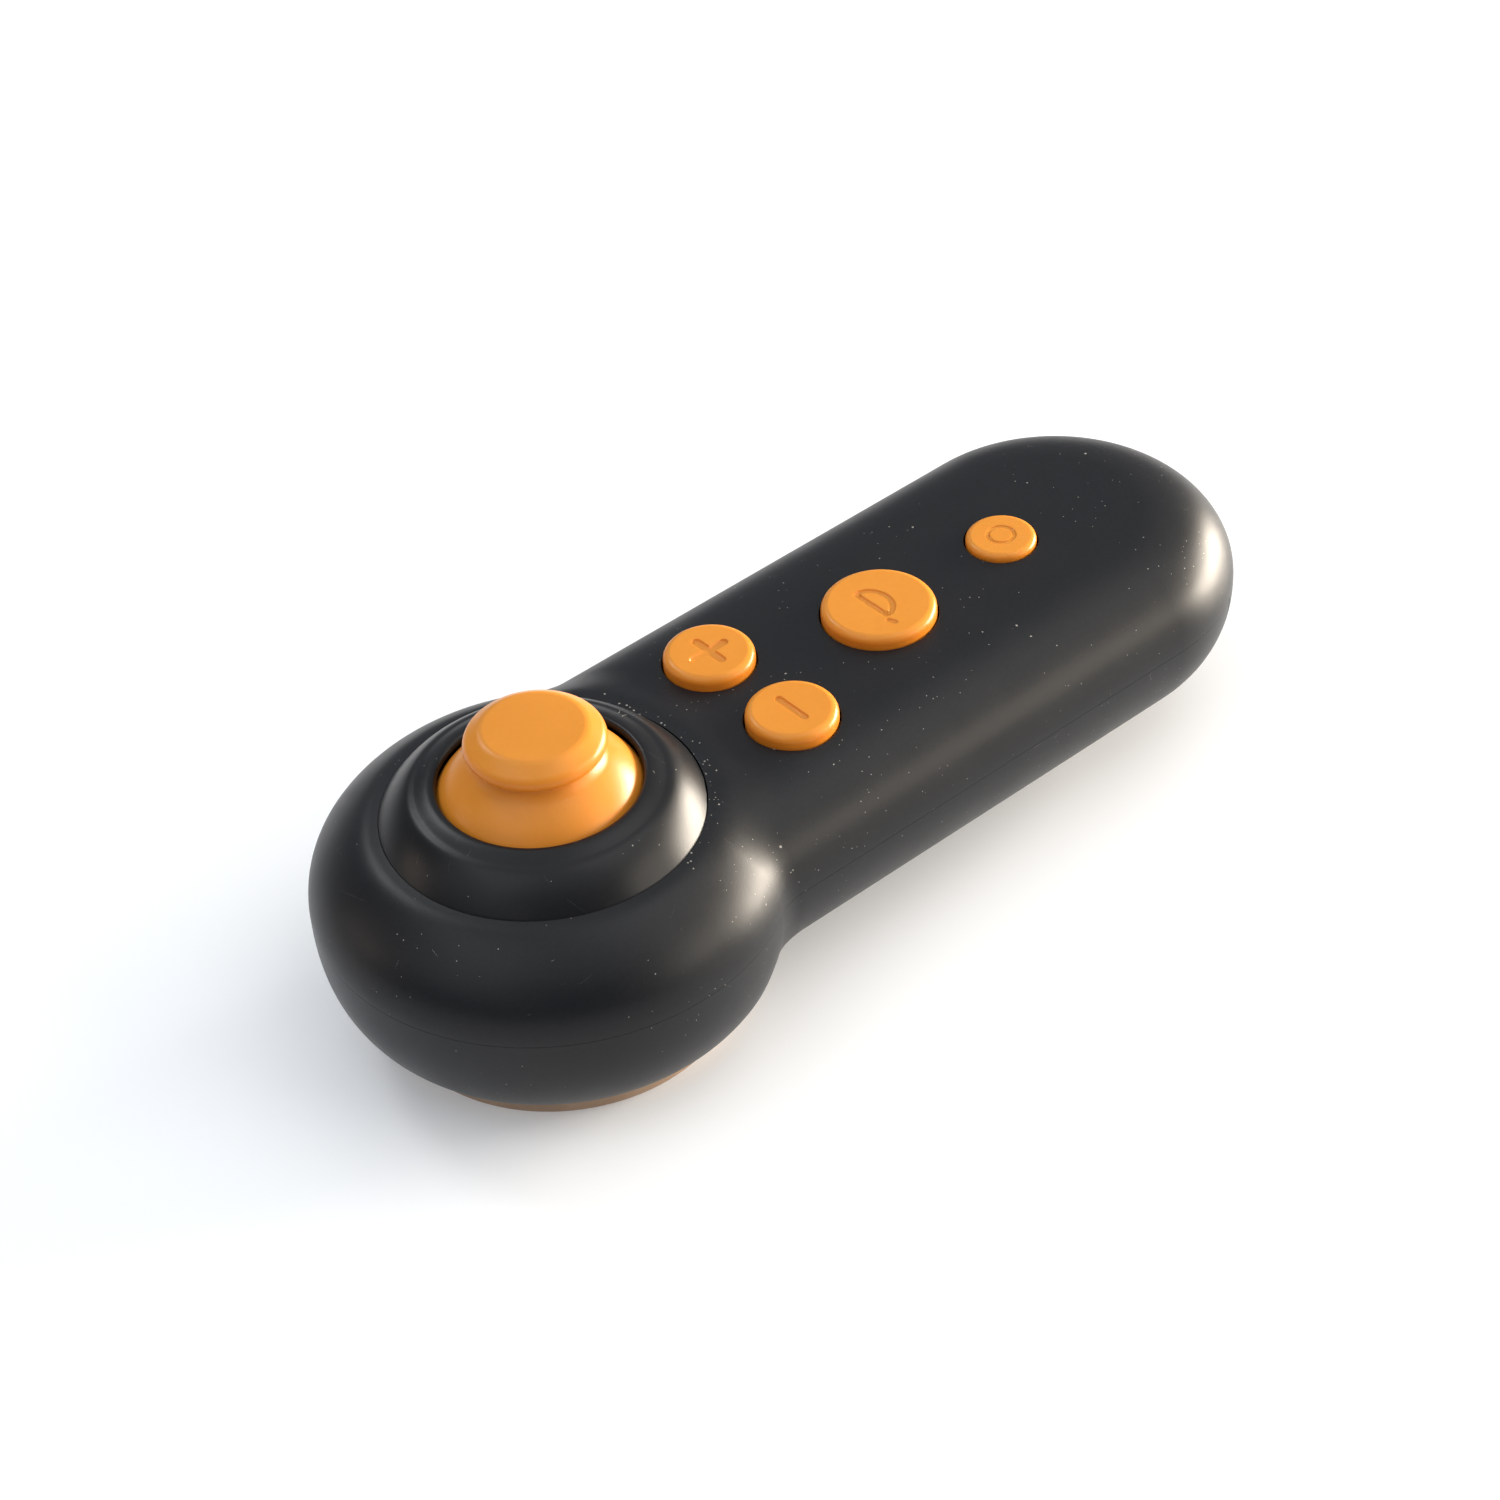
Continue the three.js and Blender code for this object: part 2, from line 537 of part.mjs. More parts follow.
function switchHousing({ x, y }) {
  const { half, top, bore, floor } = SWITCH;
  const body = box(x - half, x + half, y - half, y + half, BOARD.z1, top);
  return body.subtract(upright(bore, x, y, floor, FAR));
}

for (const b of BUTTONS) {
  addPiece(`button_${b.name}`, geometryOf(button(b)), 'orange');
  addPiece(`switch_${b.name}`, geometryOf(switchHousing(b)), 'chip');
  addPiece(`plunger_${b.name}`, geometryOf(upright(PLUNGER.r, b.x, b.y, PLUNGER.z0, PLUNGER.z1)), 'nylon');
}

// ---- circuit board ------------------------------------------------------------------------------
function board() {
  const { z0, z1, headR, half, end } = BOARD;
  const sheet = upright(headR, HEAD_X, 0, z0, z1, FACETS.collar).add(box(HEAD_X, end, -half, half, z0, z1));
  const cupHole = upright(SPRING_CUP.outer + GAP, HEAD_X, 0, 0, FAR, FACETS.button);
  const holes = BOARD_SCREWS.map((s) => upright(SCREW.r + GAP, s.x, s.y, 0, FAR, FACETS.screw));
  return without(sheet, [cupHole, ...holes]);
}
addPiece('main_board', geometryOf(board()), 'board');

const CHIPS = [
  { name: 'controller_chip', x: 25, y: 0, lx: 7, ly: 7, h: 1.2, finish: 'chip' },
  { name: 'radio_module', x: 44, y: 0, lx: 9, ly: 12, h: 2, finish: 'steel' },
  { name: 'crystal', x: 25, y: 7.5, lx: 5, ly: 2.4, h: 1.4, finish: 'steel' },
  { name: 'voltage_chip', x: 25, y: -7.5, lx: 3, ly: 3, h: 1.2, finish: 'chip' },
];
for (const { name, x, y, lx, ly, h, finish } of CHIPS) {
  const body = box(x - lx / 2, x + lx / 2, y - ly / 2, y + ly / 2, BOARD.z1, BOARD.z1 + h);
  addPiece(name, geometryOf(body), finish);
}
const CAPACITOR = { r: 2, x: 35.5, y: 9, h: 4.5 };
const can = upright(CAPACITOR.r, CAPACITOR.x, CAPACITOR.y, BOARD.z1, BOARD.z1 + CAPACITOR.h);
addPiece('capacitor', geometryOf(can), 'cell');

// ---- battery cells and contacts -----------------------------------------------------------------
const PLATE = { thick: 0.4, half: 4, below: 3, above: 5.5, gap: 0.15 };
const CELL_SPRING = { r: 3, wire: 0.35, turns: 4, rest: 0.45 };

// A rod along X between two places given in either order.
function rodBetween(r, a, b, y, facets) {
  return rodX(r, Math.min(a, b), Math.max(a, b), y, CELL.z, facets);
}

// Each cell points the other way: its tip meets a plate, and a spring pushes on its flat end.
function addCell(number, side) {
  const y = CELL.y * side;
  const [plateX, springX] = side > 0 ? [BAY.x1, BAY.x0] : [BAY.x0, BAY.x1];
  const tipEnd = plateX - side * (PLATE.thick + PLATE.gap);
  const shoulder = tipEnd - side * CELL.tip;
  const flatEnd = tipEnd - side * CELL.length;
  const sleeve = rodBetween(CELL.r, flatEnd, shoulder, y, FACETS.cell);
  const tip = rodBetween(CELL.tipR, shoulder - side, tipEnd, y, FACETS.pin);
  addPiece(`battery_cell_${number}`, geometryOf(sleeve.add(tip)), 'cell');

  const { thick, half, below, above } = PLATE;
  const plateEnds = [plateX, plateX - side * thick].sort((a, b) => a - b);
  const plate = box(...plateEnds, y - half, y + half, CELL.z - below, CELL.z + above);
  addPiece(`cell_plate_${number}`, geometryOf(plate), 'brass');

  const { rest } = CELL_SPRING;
  const [from, to] = [springX + side * rest, flatEnd - side * rest].sort((a, b) => a - b);
  const spring = coil(CELL_SPRING, [from, y, CELL.z], to - from, true);
  addPiece(`cell_spring_${number}`, geometryOf(spring), 'steel');
}
addCell(1, 1);
addCell(2, -1);

// ---- screws -------------------------------------------------------------------------------------
function addScrew({ name, x, y, z, end }, headHeight) {
  const { headR, r, point } = SCREW;
  const bevel = 0.3;
  const shape = turned([
    [0, z], [headR - bevel, z], [headR, z + bevel], [headR, z + headHeight], [r, z + headHeight],
    [r, end - point], [0, end],
  ], x, y, FACETS.screw);
  addPiece(name, geometryOf(shape), 'steel');
}
for (const s of [...HEAD_SCREWS, ...END_SCREWS]) {
  addScrew(s, SCREW.headH);
}
for (const s of BOARD_SCREWS) {
  addScrew(s, SCREW.boardHeadH);
}

export default controller;
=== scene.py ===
import json
import math

import bmesh
import bpy
import numpy as np
from mathutils import Matrix, Vector


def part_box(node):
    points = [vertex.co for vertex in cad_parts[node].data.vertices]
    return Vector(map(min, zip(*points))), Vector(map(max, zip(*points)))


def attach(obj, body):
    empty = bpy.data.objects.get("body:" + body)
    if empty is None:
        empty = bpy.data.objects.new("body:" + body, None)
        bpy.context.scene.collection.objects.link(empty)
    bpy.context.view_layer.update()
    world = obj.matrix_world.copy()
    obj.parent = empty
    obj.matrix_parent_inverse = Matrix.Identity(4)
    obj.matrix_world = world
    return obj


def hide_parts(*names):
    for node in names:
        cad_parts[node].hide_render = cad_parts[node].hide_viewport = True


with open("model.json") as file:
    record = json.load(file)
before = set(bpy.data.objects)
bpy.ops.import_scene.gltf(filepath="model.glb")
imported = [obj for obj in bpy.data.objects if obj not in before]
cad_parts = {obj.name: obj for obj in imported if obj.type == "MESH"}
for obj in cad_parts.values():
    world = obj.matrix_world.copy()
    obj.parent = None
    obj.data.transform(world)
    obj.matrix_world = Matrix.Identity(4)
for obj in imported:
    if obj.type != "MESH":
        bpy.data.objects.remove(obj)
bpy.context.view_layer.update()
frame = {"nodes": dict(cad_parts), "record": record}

# Lengths are millimetres while a mesh is built, and metres once it is an object.
MM = 0.001


def box_mm(node):
    low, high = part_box(node)
    return np.array(low) / MM, np.array(high) / MM


# ---- dimensions, from the CAD nodes' boxes and the casing's own formula ----
TOP_LOW = box_mm("top_shell")[0]
BOTTOM_LOW, BOTTOM_HIGH = box_mm("bottom_shell")
COLLAR_LOW, COLLAR_HIGH = box_mm("stick_collar")
CAP_HIGH = box_mm("stick_cap")[1]
COVER_LOW = box_mm("battery_cover")[0]
PAD_HIGH = box_mm("foot_pad")[1]
RIM_TOP = TOP_LOW[2]
RIM_BOTTOM = BOTTOM_HIGH[2]
HEAD_X = (COLLAR_LOW[0] + COLLAR_HIGH[0]) / 2
HEAD_R = 29.0
HANDLE_HALF = 23.4
NECK_R = 7.0
END_X = 68.25
END_CX = END_X - HANDLE_HALF
Z_BASE = BOTTOM_LOW[2]
Z_PART = (RIM_TOP + RIM_BOTTOM) / 2
Z_TOP = 28.6
WALL = 2.0
GAP = 0.3
NECK_CX = HEAD_X + math.sqrt((HEAD_R + NECK_R) ** 2 - (HANDLE_HALF + NECK_R) ** 2)
NECK_CY = HANDLE_HALF + NECK_R
TOP_EDGE = (12.5, 2.1)
HEAD_EDGE = (15.5, 2.55)
HANDLE_EDGE = (HANDLE_HALF, 2.2)
UNDER_BLEND = (10.0, 22.0)
COLLAR_R = 19.5
RISE = (1.25, 28.0)
VALLEY = (0.3, 1.4)
PIVOT_Z = 25.0
FAR = 100.0
SEAM_FILLET = 0.035
HOLE_FILLET = 0.16


# ---- meshes ----
def link(name, data):
    obj = bpy.data.objects.new(name, data)
    bpy.context.scene.collection.objects.link(obj)
    return obj


def new_object(name, vertices, faces):
    mesh = bpy.data.meshes.new(name)
    mesh.from_pydata([tuple(v) for v in vertices], [], faces)
    mesh.validate()
    return link(name, mesh)


def bridge(a, b, count):
    """The faces between two closed rings of vertices, which start at a and b."""
    return [(a + k, a + (k + 1) % count, b + (k + 1) % count, b + k) for k in range(count)]


def outward(obj):
    work = bmesh.new()
    work.from_mesh(obj.data)
    bmesh.ops.remove_doubles(work, verts=work.verts, dist=1e-5)
    bmesh.ops.recalc_face_normals(work, faces=work.faces)
    work.to_mesh(obj.data)
    work.free()
    return obj


def boolean(target, operation, *tools):
    for tool in tools:
        modifier = target.modifiers.new("boolean", "BOOLEAN")
        modifier.operation = operation
        modifier.solver = "MANIFOLD"
        modifier.object = tool
        bpy.context.view_layer.objects.active = target
        bpy.ops.object.modifier_apply(modifier=modifier.name)
        bpy.data.objects.remove(tool)
    return target


def cut(target, *tools):
    return boolean(target, "DIFFERENCE", *tools)


def cut_cross(target, x, y, arm, half, z0, z1, bevel=0.0):
    """Cuts an upright cross, whose arms run along X and Y."""
    cut(target, block(x - arm, x + arm, y - half, y + half, z0, z1, bevel))
    cut(target, block(x - half, x + half, y - arm, y + arm, z0, z1, bevel))


def block(x0, x1, y0, y1, z0, z1, bevel=0.0):
    work = bmesh.new()
    bmesh.ops.create_cube(work, size=1.0)
    for v in work.verts:
        v.co.x = x0 + (v.co.x + 0.5) * (x1 - x0)
        v.co.y = y0 + (v.co.y + 0.5) * (y1 - y0)
        v.co.z = z0 + (v.co.z + 0.5) * (z1 - z0)
    if bevel:
        bmesh.ops.bevel(work, geom=list(work.edges), offset=bevel, segments=3, profile=0.5, affect="EDGES")
    mesh = bpy.data.meshes.new("block")
    work.to_mesh(mesh)
    work.free()
    return link("block", mesh)


def slab(low, high, z0, z1, inset=0.0, bevel=0.0):
    """A block over a box's plan, drawn in all round by an inset, between two heights."""
    return block(low[0] + inset, high[0] - inset, low[1] + inset, high[1] - inset, z0, z1, bevel)


def lathe(name, profile, x, y, segments=128, closed=False):
    """Turns a list of (radius, z). It starts and ends on the axis, or is closed as a ring."""
    vertices, faces, rows = [], [], []
    for r, z in profile:
        if r < 1e-6:
            rows.append([len(vertices)] * segments)
            vertices.append((x, y, z))
        else:
            rows.append(list(range(len(vertices), len(vertices) + segments)))
            for k in range(segments):
                a = 2 * math.pi * k / segments
                vertices.append((x + r * math.cos(a), y + r * math.sin(a), z))
    pairs = list(zip(rows, rows[1:])) + ([(rows[-1], rows[0])] if closed else [])
    for a, b in pairs:
        for k in range(segments):
            n = (k + 1) % segments
            face = list(dict.fromkeys((a[k], a[n], b[n], b[k])))
            if len(face) > 2:
                faces.append(face)
    return outward(new_object(name, vertices, faces))


def filleted(corners, steps=6):
    """A polyline whose corners, each (r, z, fillet radius), are rounded by arcs."""
    out = []
    last = len(corners) - 1
    for i, (r, z, radius) in enumerate(corners):
        if radius <= 0 or i in (0, last):
            out.append((r, z))
            continue
        p = np.array((r, z))
        a = np.array(corners[i - 1][:2]) - p
        b = np.array(corners[i + 1][:2]) - p
        a /= np.linalg.norm(a)
        b /= np.linalg.norm(b)
        half = math.acos(max(-1.0, min(1.0, float(a @ b)))) / 2
        reach = radius / math.tan(half)
        centre = p + (a + b) / np.linalg.norm(a + b) * (radius / math.sin(half))
        start, end = p + a * reach - centre, p + b * reach - centre
        angle = math.acos(max(-1.0, min(1.0, float(start @ end) / radius**2)))
        for k in range(steps + 1):
            t = k / steps
            q = (start * math.sin((1 - t) * angle) + end * math.sin(t * angle)) / math.sin(angle)
            out.append(tuple(centre + q))
    return out


def arc(radius, start, end, steps, centre_z=PIVOT_Z):
    """Points of an arc about the stick's pivot, from one angle to another, in degrees from +Z."""
    angles = np.radians(np.linspace(start, end, steps + 1))
    return [(radius * math.sin(a), centre_z + radius * math.cos(a)) for a in angles]


# ---- casing surface ----
def smoothstep(x, low, high):
    t = np.clip((x - low) / (high - low), 0, 1)
    return t * t * (3 - 2 * t)


def depth_inside(x, y, inset=0.0):
    side = np.abs(y)
    from_head = x - HEAD_X
    head = HEAD_R - inset - np.hypot(from_head, side)
    neck = np.hypot(x - NECK_CX, side - NECK_CY) - NECK_R - inset
    handle = HANDLE_HALF - inset - np.hypot(np.maximum(0, x - END_CX), side)
    in_head = (NECK_CX - HEAD_X) * side - NECK_CY * from_head > 0
    return np.where(in_head, head, np.where(x < NECK_CX, neck, handle))


def rise(x, y):
    r = np.hypot(x - HEAD_X, y)
    valley = VALLEY[0] * np.exp(-(((r - COLLAR_R) / VALLEY[1]) ** 2))
    return RISE[0] * (1 - smoothstep(r, COLLAR_R, RISE[1])) - valley


def surface_parts(x, y, inset, top):
    """Reach and exponent of the edge rounding, and the full height that it rounds off to."""
    if top:
        reach = np.full_like(x, TOP_EDGE[0] - inset)
        return reach, np.full_like(x, TOP_EDGE[1]), Z_TOP - inset - Z_PART + rise(x, y)
    t = smoothstep(x - HEAD_X, *UNDER_BLEND)
    reach = HEAD_EDGE[0] + (HANDLE_EDGE[0] - HEAD_EDGE[0]) * t - inset
    power = HEAD_EDGE[1] + (HANDLE_EDGE[1] - HEAD_EDGE[1]) * t
    return reach, power, np.full_like(x, Z_PART - Z_BASE - inset)


def surface_z(x, y, inset, top):
    reach, power, height = surface_parts(x, y, inset, top)
    left = 1 - np.clip(depth_inside(x, y, inset) / reach, 0, 1)
    z = height * (1 - left**power) ** (1 / power)
    return Z_PART + z if top else Z_PART - z


def surface_field(p, inset, top):
    """Zero on the surface, and growing outwards from it."""
    x, y, z = p[:, 0], p[:, 1], p[:, 2]
    reach, power, height = surface_parts(x, y, inset, top)
    left = np.maximum(0, 1 - depth_inside(x, y, inset) / reach)
    level = np.maximum(0, (z - Z_PART if top else Z_PART - z) / height)
    return level**power + left**power - 1


def surface_normals(p, top):
    h = 2e-3
    gradient = np.empty_like(p)
    for axis in range(3):
        step = np.zeros(3)
        step[axis] = h
        gradient[:, axis] = surface_field(p + step, 0, top) - surface_field(p - step, 0, top)
    return gradient / np.maximum(1e-12, np.linalg.norm(gradient, axis=1))[:, None]


def outline(inset, spacing=1.0):
    """The outline seen from above, with the place on the middle line that each point's row runs to."""
    tangent = math.atan2(NECK_CY, NECK_CX - HEAD_X)
    points = []
    r = HEAD_R - inset
    steps = round(r * (math.pi - tangent) / spacing)
    for i in range(steps):
        a = math.pi + (tangent - math.pi) * i / steps
        points.append((HEAD_X + r * math.cos(a), r * math.sin(a), HEAD_X))
    r = NECK_R + inset
    steps = max(6, round(r * (math.pi / 2 - tangent) / spacing))
    for i in range(steps):
        a = tangent + math.pi + (math.pi / 2 - tangent) * i / steps
        points.append((NECK_CX + r * math.cos(a), NECK_CY + r * math.sin(a),
                       HEAD_X + (NECK_CX - HEAD_X) * i / steps))
    steps = round((END_CX - NECK_CX) / (1.2 * spacing))
    for i in range(steps):
        x = NECK_CX + (END_CX - NECK_CX) * i / steps
        points.append((x, HANDLE_HALF - inset, x))
    r = HANDLE_HALF - inset
    steps = round(r * math.pi / 2 / spacing)
    for i in range(steps + 1):
        a = math.pi / 2 * (1 - i / steps)
        points.append((END_CX + r * math.cos(a), r * math.sin(a), END_CX))
    mirrored = [(x, -y, s) for x, y, s in points[1:-1]][::-1]
    return np.array(points + mirrored)


def lump(name, inset, rows, halves, rim=None, fillet=0.0, spacing=1.0):
    """A closed lump from rows that run from the outline to the middle line. With one half, it is
    closed by a flat face at the rim, and its edge there is rounded by a small fillet."""
    points = outline(inset, spacing)
    x, y, spine = points.T
    count = len(points)
    t = (np.arange(rows + 1) / rows) ** 2
    vertices, faces = [], []

    def add_ring(px, py, pz):
        vertices.extend(np.stack([px, py, np.broadcast_to(pz, px.shape)], 1))

    for top in halves:
        first = len(vertices)
        rings = 0
        if rim is not None:
            up = 1 if top else -1
            add_ring(spine, np.zeros(count), rim)
            for k in range(4):
                a = math.pi / 2 * k / 3
                step = fillet * (1 - math.sin(a)) / np.hypot(x - spine, y)
                add_ring(x + (spine - x) * step, y * (1 - step), rim + up * fillet * (1 - math.cos(a)))
            rings += 5
        for j in range(1 if rim is not None else 0, rows + 1):
            px, py = x + (spine - x) * t[j], y * (1 - t[j])
            add_ring(px, py, Z_PART if j == 0 else surface_z(px, py, inset, top))
            rings += 1
        for j in range(rings - 1):
            faces += bridge(first + j * count, first + (j + 1) * count, count)
    obj = new_object(name, vertices, faces)
    work = bmesh.new()
    work.from_mesh(obj.data)
    bmesh.ops.remove_doubles(work, verts=work.verts, dist=2e-4)
    bmesh.ops.dissolve_degenerate(work, edges=work.edges, dist=2e-4)
    bmesh.ops.triangulate(work, faces=[f for f in work.faces if len(f.verts) > 4])
    bmesh.ops.recalc_face_normals(work, faces=work.faces)
    work.to_mesh(obj.data)
    work.free()
    return obj


def hole_tool(cx, cy, r, low, fillet=HOLE_FILLET, segments=96):
    """A cutting tool for a round hole whose edge is rounded where it meets the casing's top."""
    a = 2 * np.pi * np.arange(segments) / segments
    cos, sin = np.cos(a), np.sin(a)
    level = surface_z(cx + (r + fillet) * cos, cy + (r + fillet) * sin, 0, True)
    rings = [(np.full(segments, r), np.full(segments, low))]
    for k in range(5):
        b = math.pi / 2 * k / 4
        rings.append((np.full(segments, r + fillet * (1 - math.cos(b))), level - fillet * (1 - math.sin(b))))
    rings.append((np.full(segments, r + fillet + 1.5), level + 1.5))
    vertices, faces = [], []
    for radius, z in rings:
        vertices.extend(np.stack([cx + radius * cos, cy + radius * sin, z], 1))
    for j in range(len(rings) - 1):
        faces += bridge(j * segments, (j + 1) * segments, segments)
    faces.append(tuple(range(segments))[::-1])
    vertices.append((cx, cy, level.mean() + 1.5))
    last = (len(rings) - 1) * segments
    for i in range(segments):
        faces.append((last + i, last + (i + 1) % segments, len(vertices) - 1))
    return outward(new_object("hole_tool", vertices, faces))


def rod(r, x, y, z0, z1, segments=32, bevel=0.0):
    if bevel:
        profile = [(0, z0), (r - bevel, z0), (r, z0 + bevel), (r, z1 - bevel), (r - bevel, z1), (0, z1)]
    else:
        profile = [(0, z0), (r, z0), (r, z1), (0, z1)]
    return lathe("rod", profile, x, y, segments)


def read(items, name, kind, width=1):
    values = np.empty(len(items) * width, kind)
    items.foreach_get(name, values)
    return values.reshape(-1, width) if width > 1 else values


def finish_mesh(obj, angle=35.0, casing=(), level=None):
    """Shades smooth with sharp edges, takes the normals of the casing's surface where the mesh lies
    on it, keeps faces at one level flat, and turns the mesh from millimetres to metres."""
    mesh = obj.data
    mesh.polygons.foreach_set("use_smooth", [True] * len(mesh.polygons))
    mesh.set_sharp_from_angle(angle=math.radians(angle))
    if casing or level is not None:
        co = read(mesh.vertices, "co", float, 3)
        loop_vertex = read(mesh.loops, "vertex_index", int)
        totals = read(mesh.polygons, "loop_total", int)
        face_normal = np.repeat(read(mesh.polygons, "normal", float, 3), totals, axis=0)
        custom = np.zeros((len(loop_vertex), 3))
        if level is not None:
            flush = (np.abs(co[loop_vertex, 2] - level) < 1e-3) & (face_normal[:, 2] > 0.5)
            custom[flush] = (0.0, 0.0, 1.0)
        for top in casing:
            on = np.abs(surface_field(co, 0, top)) < 6e-3
            on &= (co[:, 2] > Z_PART) if top else (co[:, 2] < Z_PART)
            normal = surface_normals(co, top)[loop_vertex]
            near = (face_normal * normal).sum(1) > math.cos(math.radians(52))
            chosen = on[loop_vertex] & near
            custom[chosen] = normal[chosen]
        mesh.normals_split_custom_set([tuple(v) for v in custom])
    mesh.transform(Matrix.Scale(MM, 4))
    mesh.update()
    return obj


# ---- materials ----
class Nodes:
    """A short way to write a node tree."""

    def __init__(self, name):
        self.material = bpy.data.materials.new(name)
        self.material.use_nodes = True
        self.tree = self.material.node_tree
        self.shader = next(n for n in self.tree.nodes if n.type == "BSDF_PRINCIPLED")
        self.place = self.add("ShaderNodeTexCoord").outputs["Object"]

    def add(self, kind, **values):
        node = self.tree.nodes.new(kind)
        for key, value in values.items():
            setattr(node, key, value)
        return node

    def fix(self, **values):
        """Sets the shader's own sockets to values that are the same all over."""
        for key, value in values.items():
            name = key.replace("_", " ").title().replace("Ior", "IOR")
            self.shader.inputs[name].default_value = value

    def split(self, kind, socket):
        node = self.add(kind)
        self.put(node.inputs[0], socket)
        return node.outputs

    def put(self, socket, value):
        if isinstance(value, bpy.types.NodeSocket):
            self.tree.links.new(value, socket)
        else:
            socket.default_value = value

    def feed(self, node, **values):
        for key, value in values.items():
            self.put(node.inputs[key], value)

    def noise(self, scale, detail=2.0, roughness=0.5, vector=None):
        node = self.add("ShaderNodeTexNoise")
        self.feed(node, Vector=vector or self.place, Scale=scale, Detail=detail, Roughness=roughness)
        return node.outputs["Fac"]

    def cells(self, scale, randomness=1.0, vector=None):
        node = self.add("ShaderNodeTexVoronoi")
        self.feed(node, Vector=vector or self.place, Scale=scale, Randomness=randomness)
        return node

    def remap(self, value, low, high, to_low=0.0, to_high=1.0):
        node = self.add("ShaderNodeMapRange")
        self.put(node.inputs["Value"], value)
        for key, number in zip(("From Min", "From Max", "To Min", "To Max"), (low, high, to_low, to_high)):
            self.put(node.inputs[key], number)
        return node.outputs["Result"]

    def math(self, operation, a, b=0.0):
        node = self.add("ShaderNodeMath", operation=operation)
        self.put(node.inputs[0], a)
        self.put(node.inputs[1], b)
        return node.outputs[0]

    def mix(self, factor, a, b):
        node = self.add("ShaderNodeMix", data_type="RGBA")
        self.feed(node, Factor=factor, A=a, B=b)
        return node.outputs["Result"]

    def tint(self, base, mask, share, colour):
        return self.mix(self.math("MULTIPLY", mask, share), base, rgb(*colour))

    def bump(self, height, strength, distance):
        node = self.add("ShaderNodeBump")
        self.feed(node, Height=height, Strength=strength, Distance=distance)
        return node.outputs["Normal"]

    def set(self, **values):
        for key, value in values.items():
            self.put(self.shader.inputs[key.replace("_", " ").title()], value)


def rgb(r, g, b):
    return (r, g, b, 1.0)


def specks(n, scale, size, share, where=None):
    """1 on small uneven specks, which only a share of the cells holds."""
    cells = n.cells(scale)
    draw = n.split("ShaderNodeSeparateColor", cells.outputs["Color"])
    reach = n.remap(draw["Green"], 0.0, 1.0, size * 0.5, size)
    ragged = n.math("ADD", cells.outputs["Distance"], n.remap(n.noise(scale * 9.0), 0.0, 1.0, -0.04, 0.04))
    inside = n.math("LESS_THAN", ragged, reach)
    chosen = n.math("LESS_THAN", draw["Red"], n.math("MULTIPLY", where, share) if where else share)
    return n.math("MULTIPLY", inside, chosen)


def fibres(n, scale, share):
    """1 on a few short lint hairs: thin stretched cells, turned by a slow noise."""
    turn = n.add("ShaderNodeVectorRotate", rotation_type="Z_AXIS")
    n.put(turn.inputs["Vector"], n.place)
    n.put(turn.inputs["Angle"], n.remap(n.noise(55.0, 0.0), 0.3, 0.7, 0.0, 6.0))
    stretch = n.add("ShaderNodeMapping")
    n.put(stretch.inputs["Vector"], turn.outputs["Vector"])
    stretch.inputs["Scale"].default_value = (1.0, 14.0, 1.0)
    cells = n.cells(scale, vector=stretch.outputs["Vector"])
    draw = n.split("ShaderNodeSeparateColor", cells.outputs["Color"])
    inside = n.math("LESS_THAN", cells.outputs["Distance"], 0.16)
    return n.math("MULTIPLY", inside, n.math("LESS_THAN", draw["Red"], share))


def collar_seam(n):
    """1 in a narrow band of the casing round the collar, where dust gathers, fading away from it."""
    at = n.split("ShaderNodeSeparateXYZ", n.place)
    across = n.math("SUBTRACT", at["X"], HEAD_X * MM)
    square = n.math("ADD", n.math("POWER", across, 2.0), n.math("POWER", at["Y"], 2.0))
    radius = n.math("SQRT", square)
    near = n.remap(radius, (COLLAR_R + 2.2) * MM, (COLLAR_R + 0.1) * MM)
    return n.math("MULTIPLY", near, n.remap(at["X"], HEAD_X * MM, (HEAD_X + 12) * MM))


def black_plastic(n, cloud, worn, gloss, dust, tones, grain):
    """Black with cloudy gloss, a fine grain and pale dust. The tones are the clouds' two, and then the
    mottle's and the dust's, each with its share."""
    dark, light, (mottled, mottle_share), (dusty, dust_share) = tones
    scale, strength, distance = grain
    base = n.mix(n.remap(cloud, 0.3, 0.7), rgb(*dark), rgb(*light))
    base = n.tint(base, n.remap(n.noise(1900.0, 3.0, 0.7), 0.35, 0.7), mottle_share, mottled)
    base = n.tint(base, dust, dust_share, dusty)
    rough = n.math("ADD", n.remap(worn, 0.25, 0.75, *gloss), n.math("MULTIPLY", dust, 0.3))
    n.set(base_color=base, roughness=rough, normal=n.bump(n.noise(scale, 2.0, 0.6), strength, distance))
    n.fix(specular_ior_level=0.265)
    return n.material


def casing_plastic():
    """Soft-touch black: spark-eroded grain, worn by handling, with dust that gathers at the collar."""
    n = Nodes("soft_touch_black")
    patchy = n.remap(n.noise(70.0, 2.0, 0.5), 0.42, 0.62)
    dust = fibres(n, 180.0, 0.006)
    for scale, size, share, where in (
        (480.0, 0.09, 0.2, patchy), (1100.0, 0.12, 0.08, patchy), (2200.0, 0.3, 0.35, collar_seam(n)),
        (2600.0, 0.22, 0.07, patchy),
    ):
        dust = n.math("MAXIMUM", dust, specks(n, scale, size, share, where))
    tones = ((0.0042, 0.0048, 0.0062), (0.006, 0.0066, 0.0082), ((0.0085, 0.009, 0.0105), 0.5),
             ((0.42, 0.4, 0.36), 0.6))
    cloud, worn = n.noise(38.0, 4.0, 0.6), n.noise(150.0, 3.0, 0.55)
    return black_plastic(n, cloud, worn, (0.35, 0.41), dust, tones, (5200.0, 0.25, 0.00004))


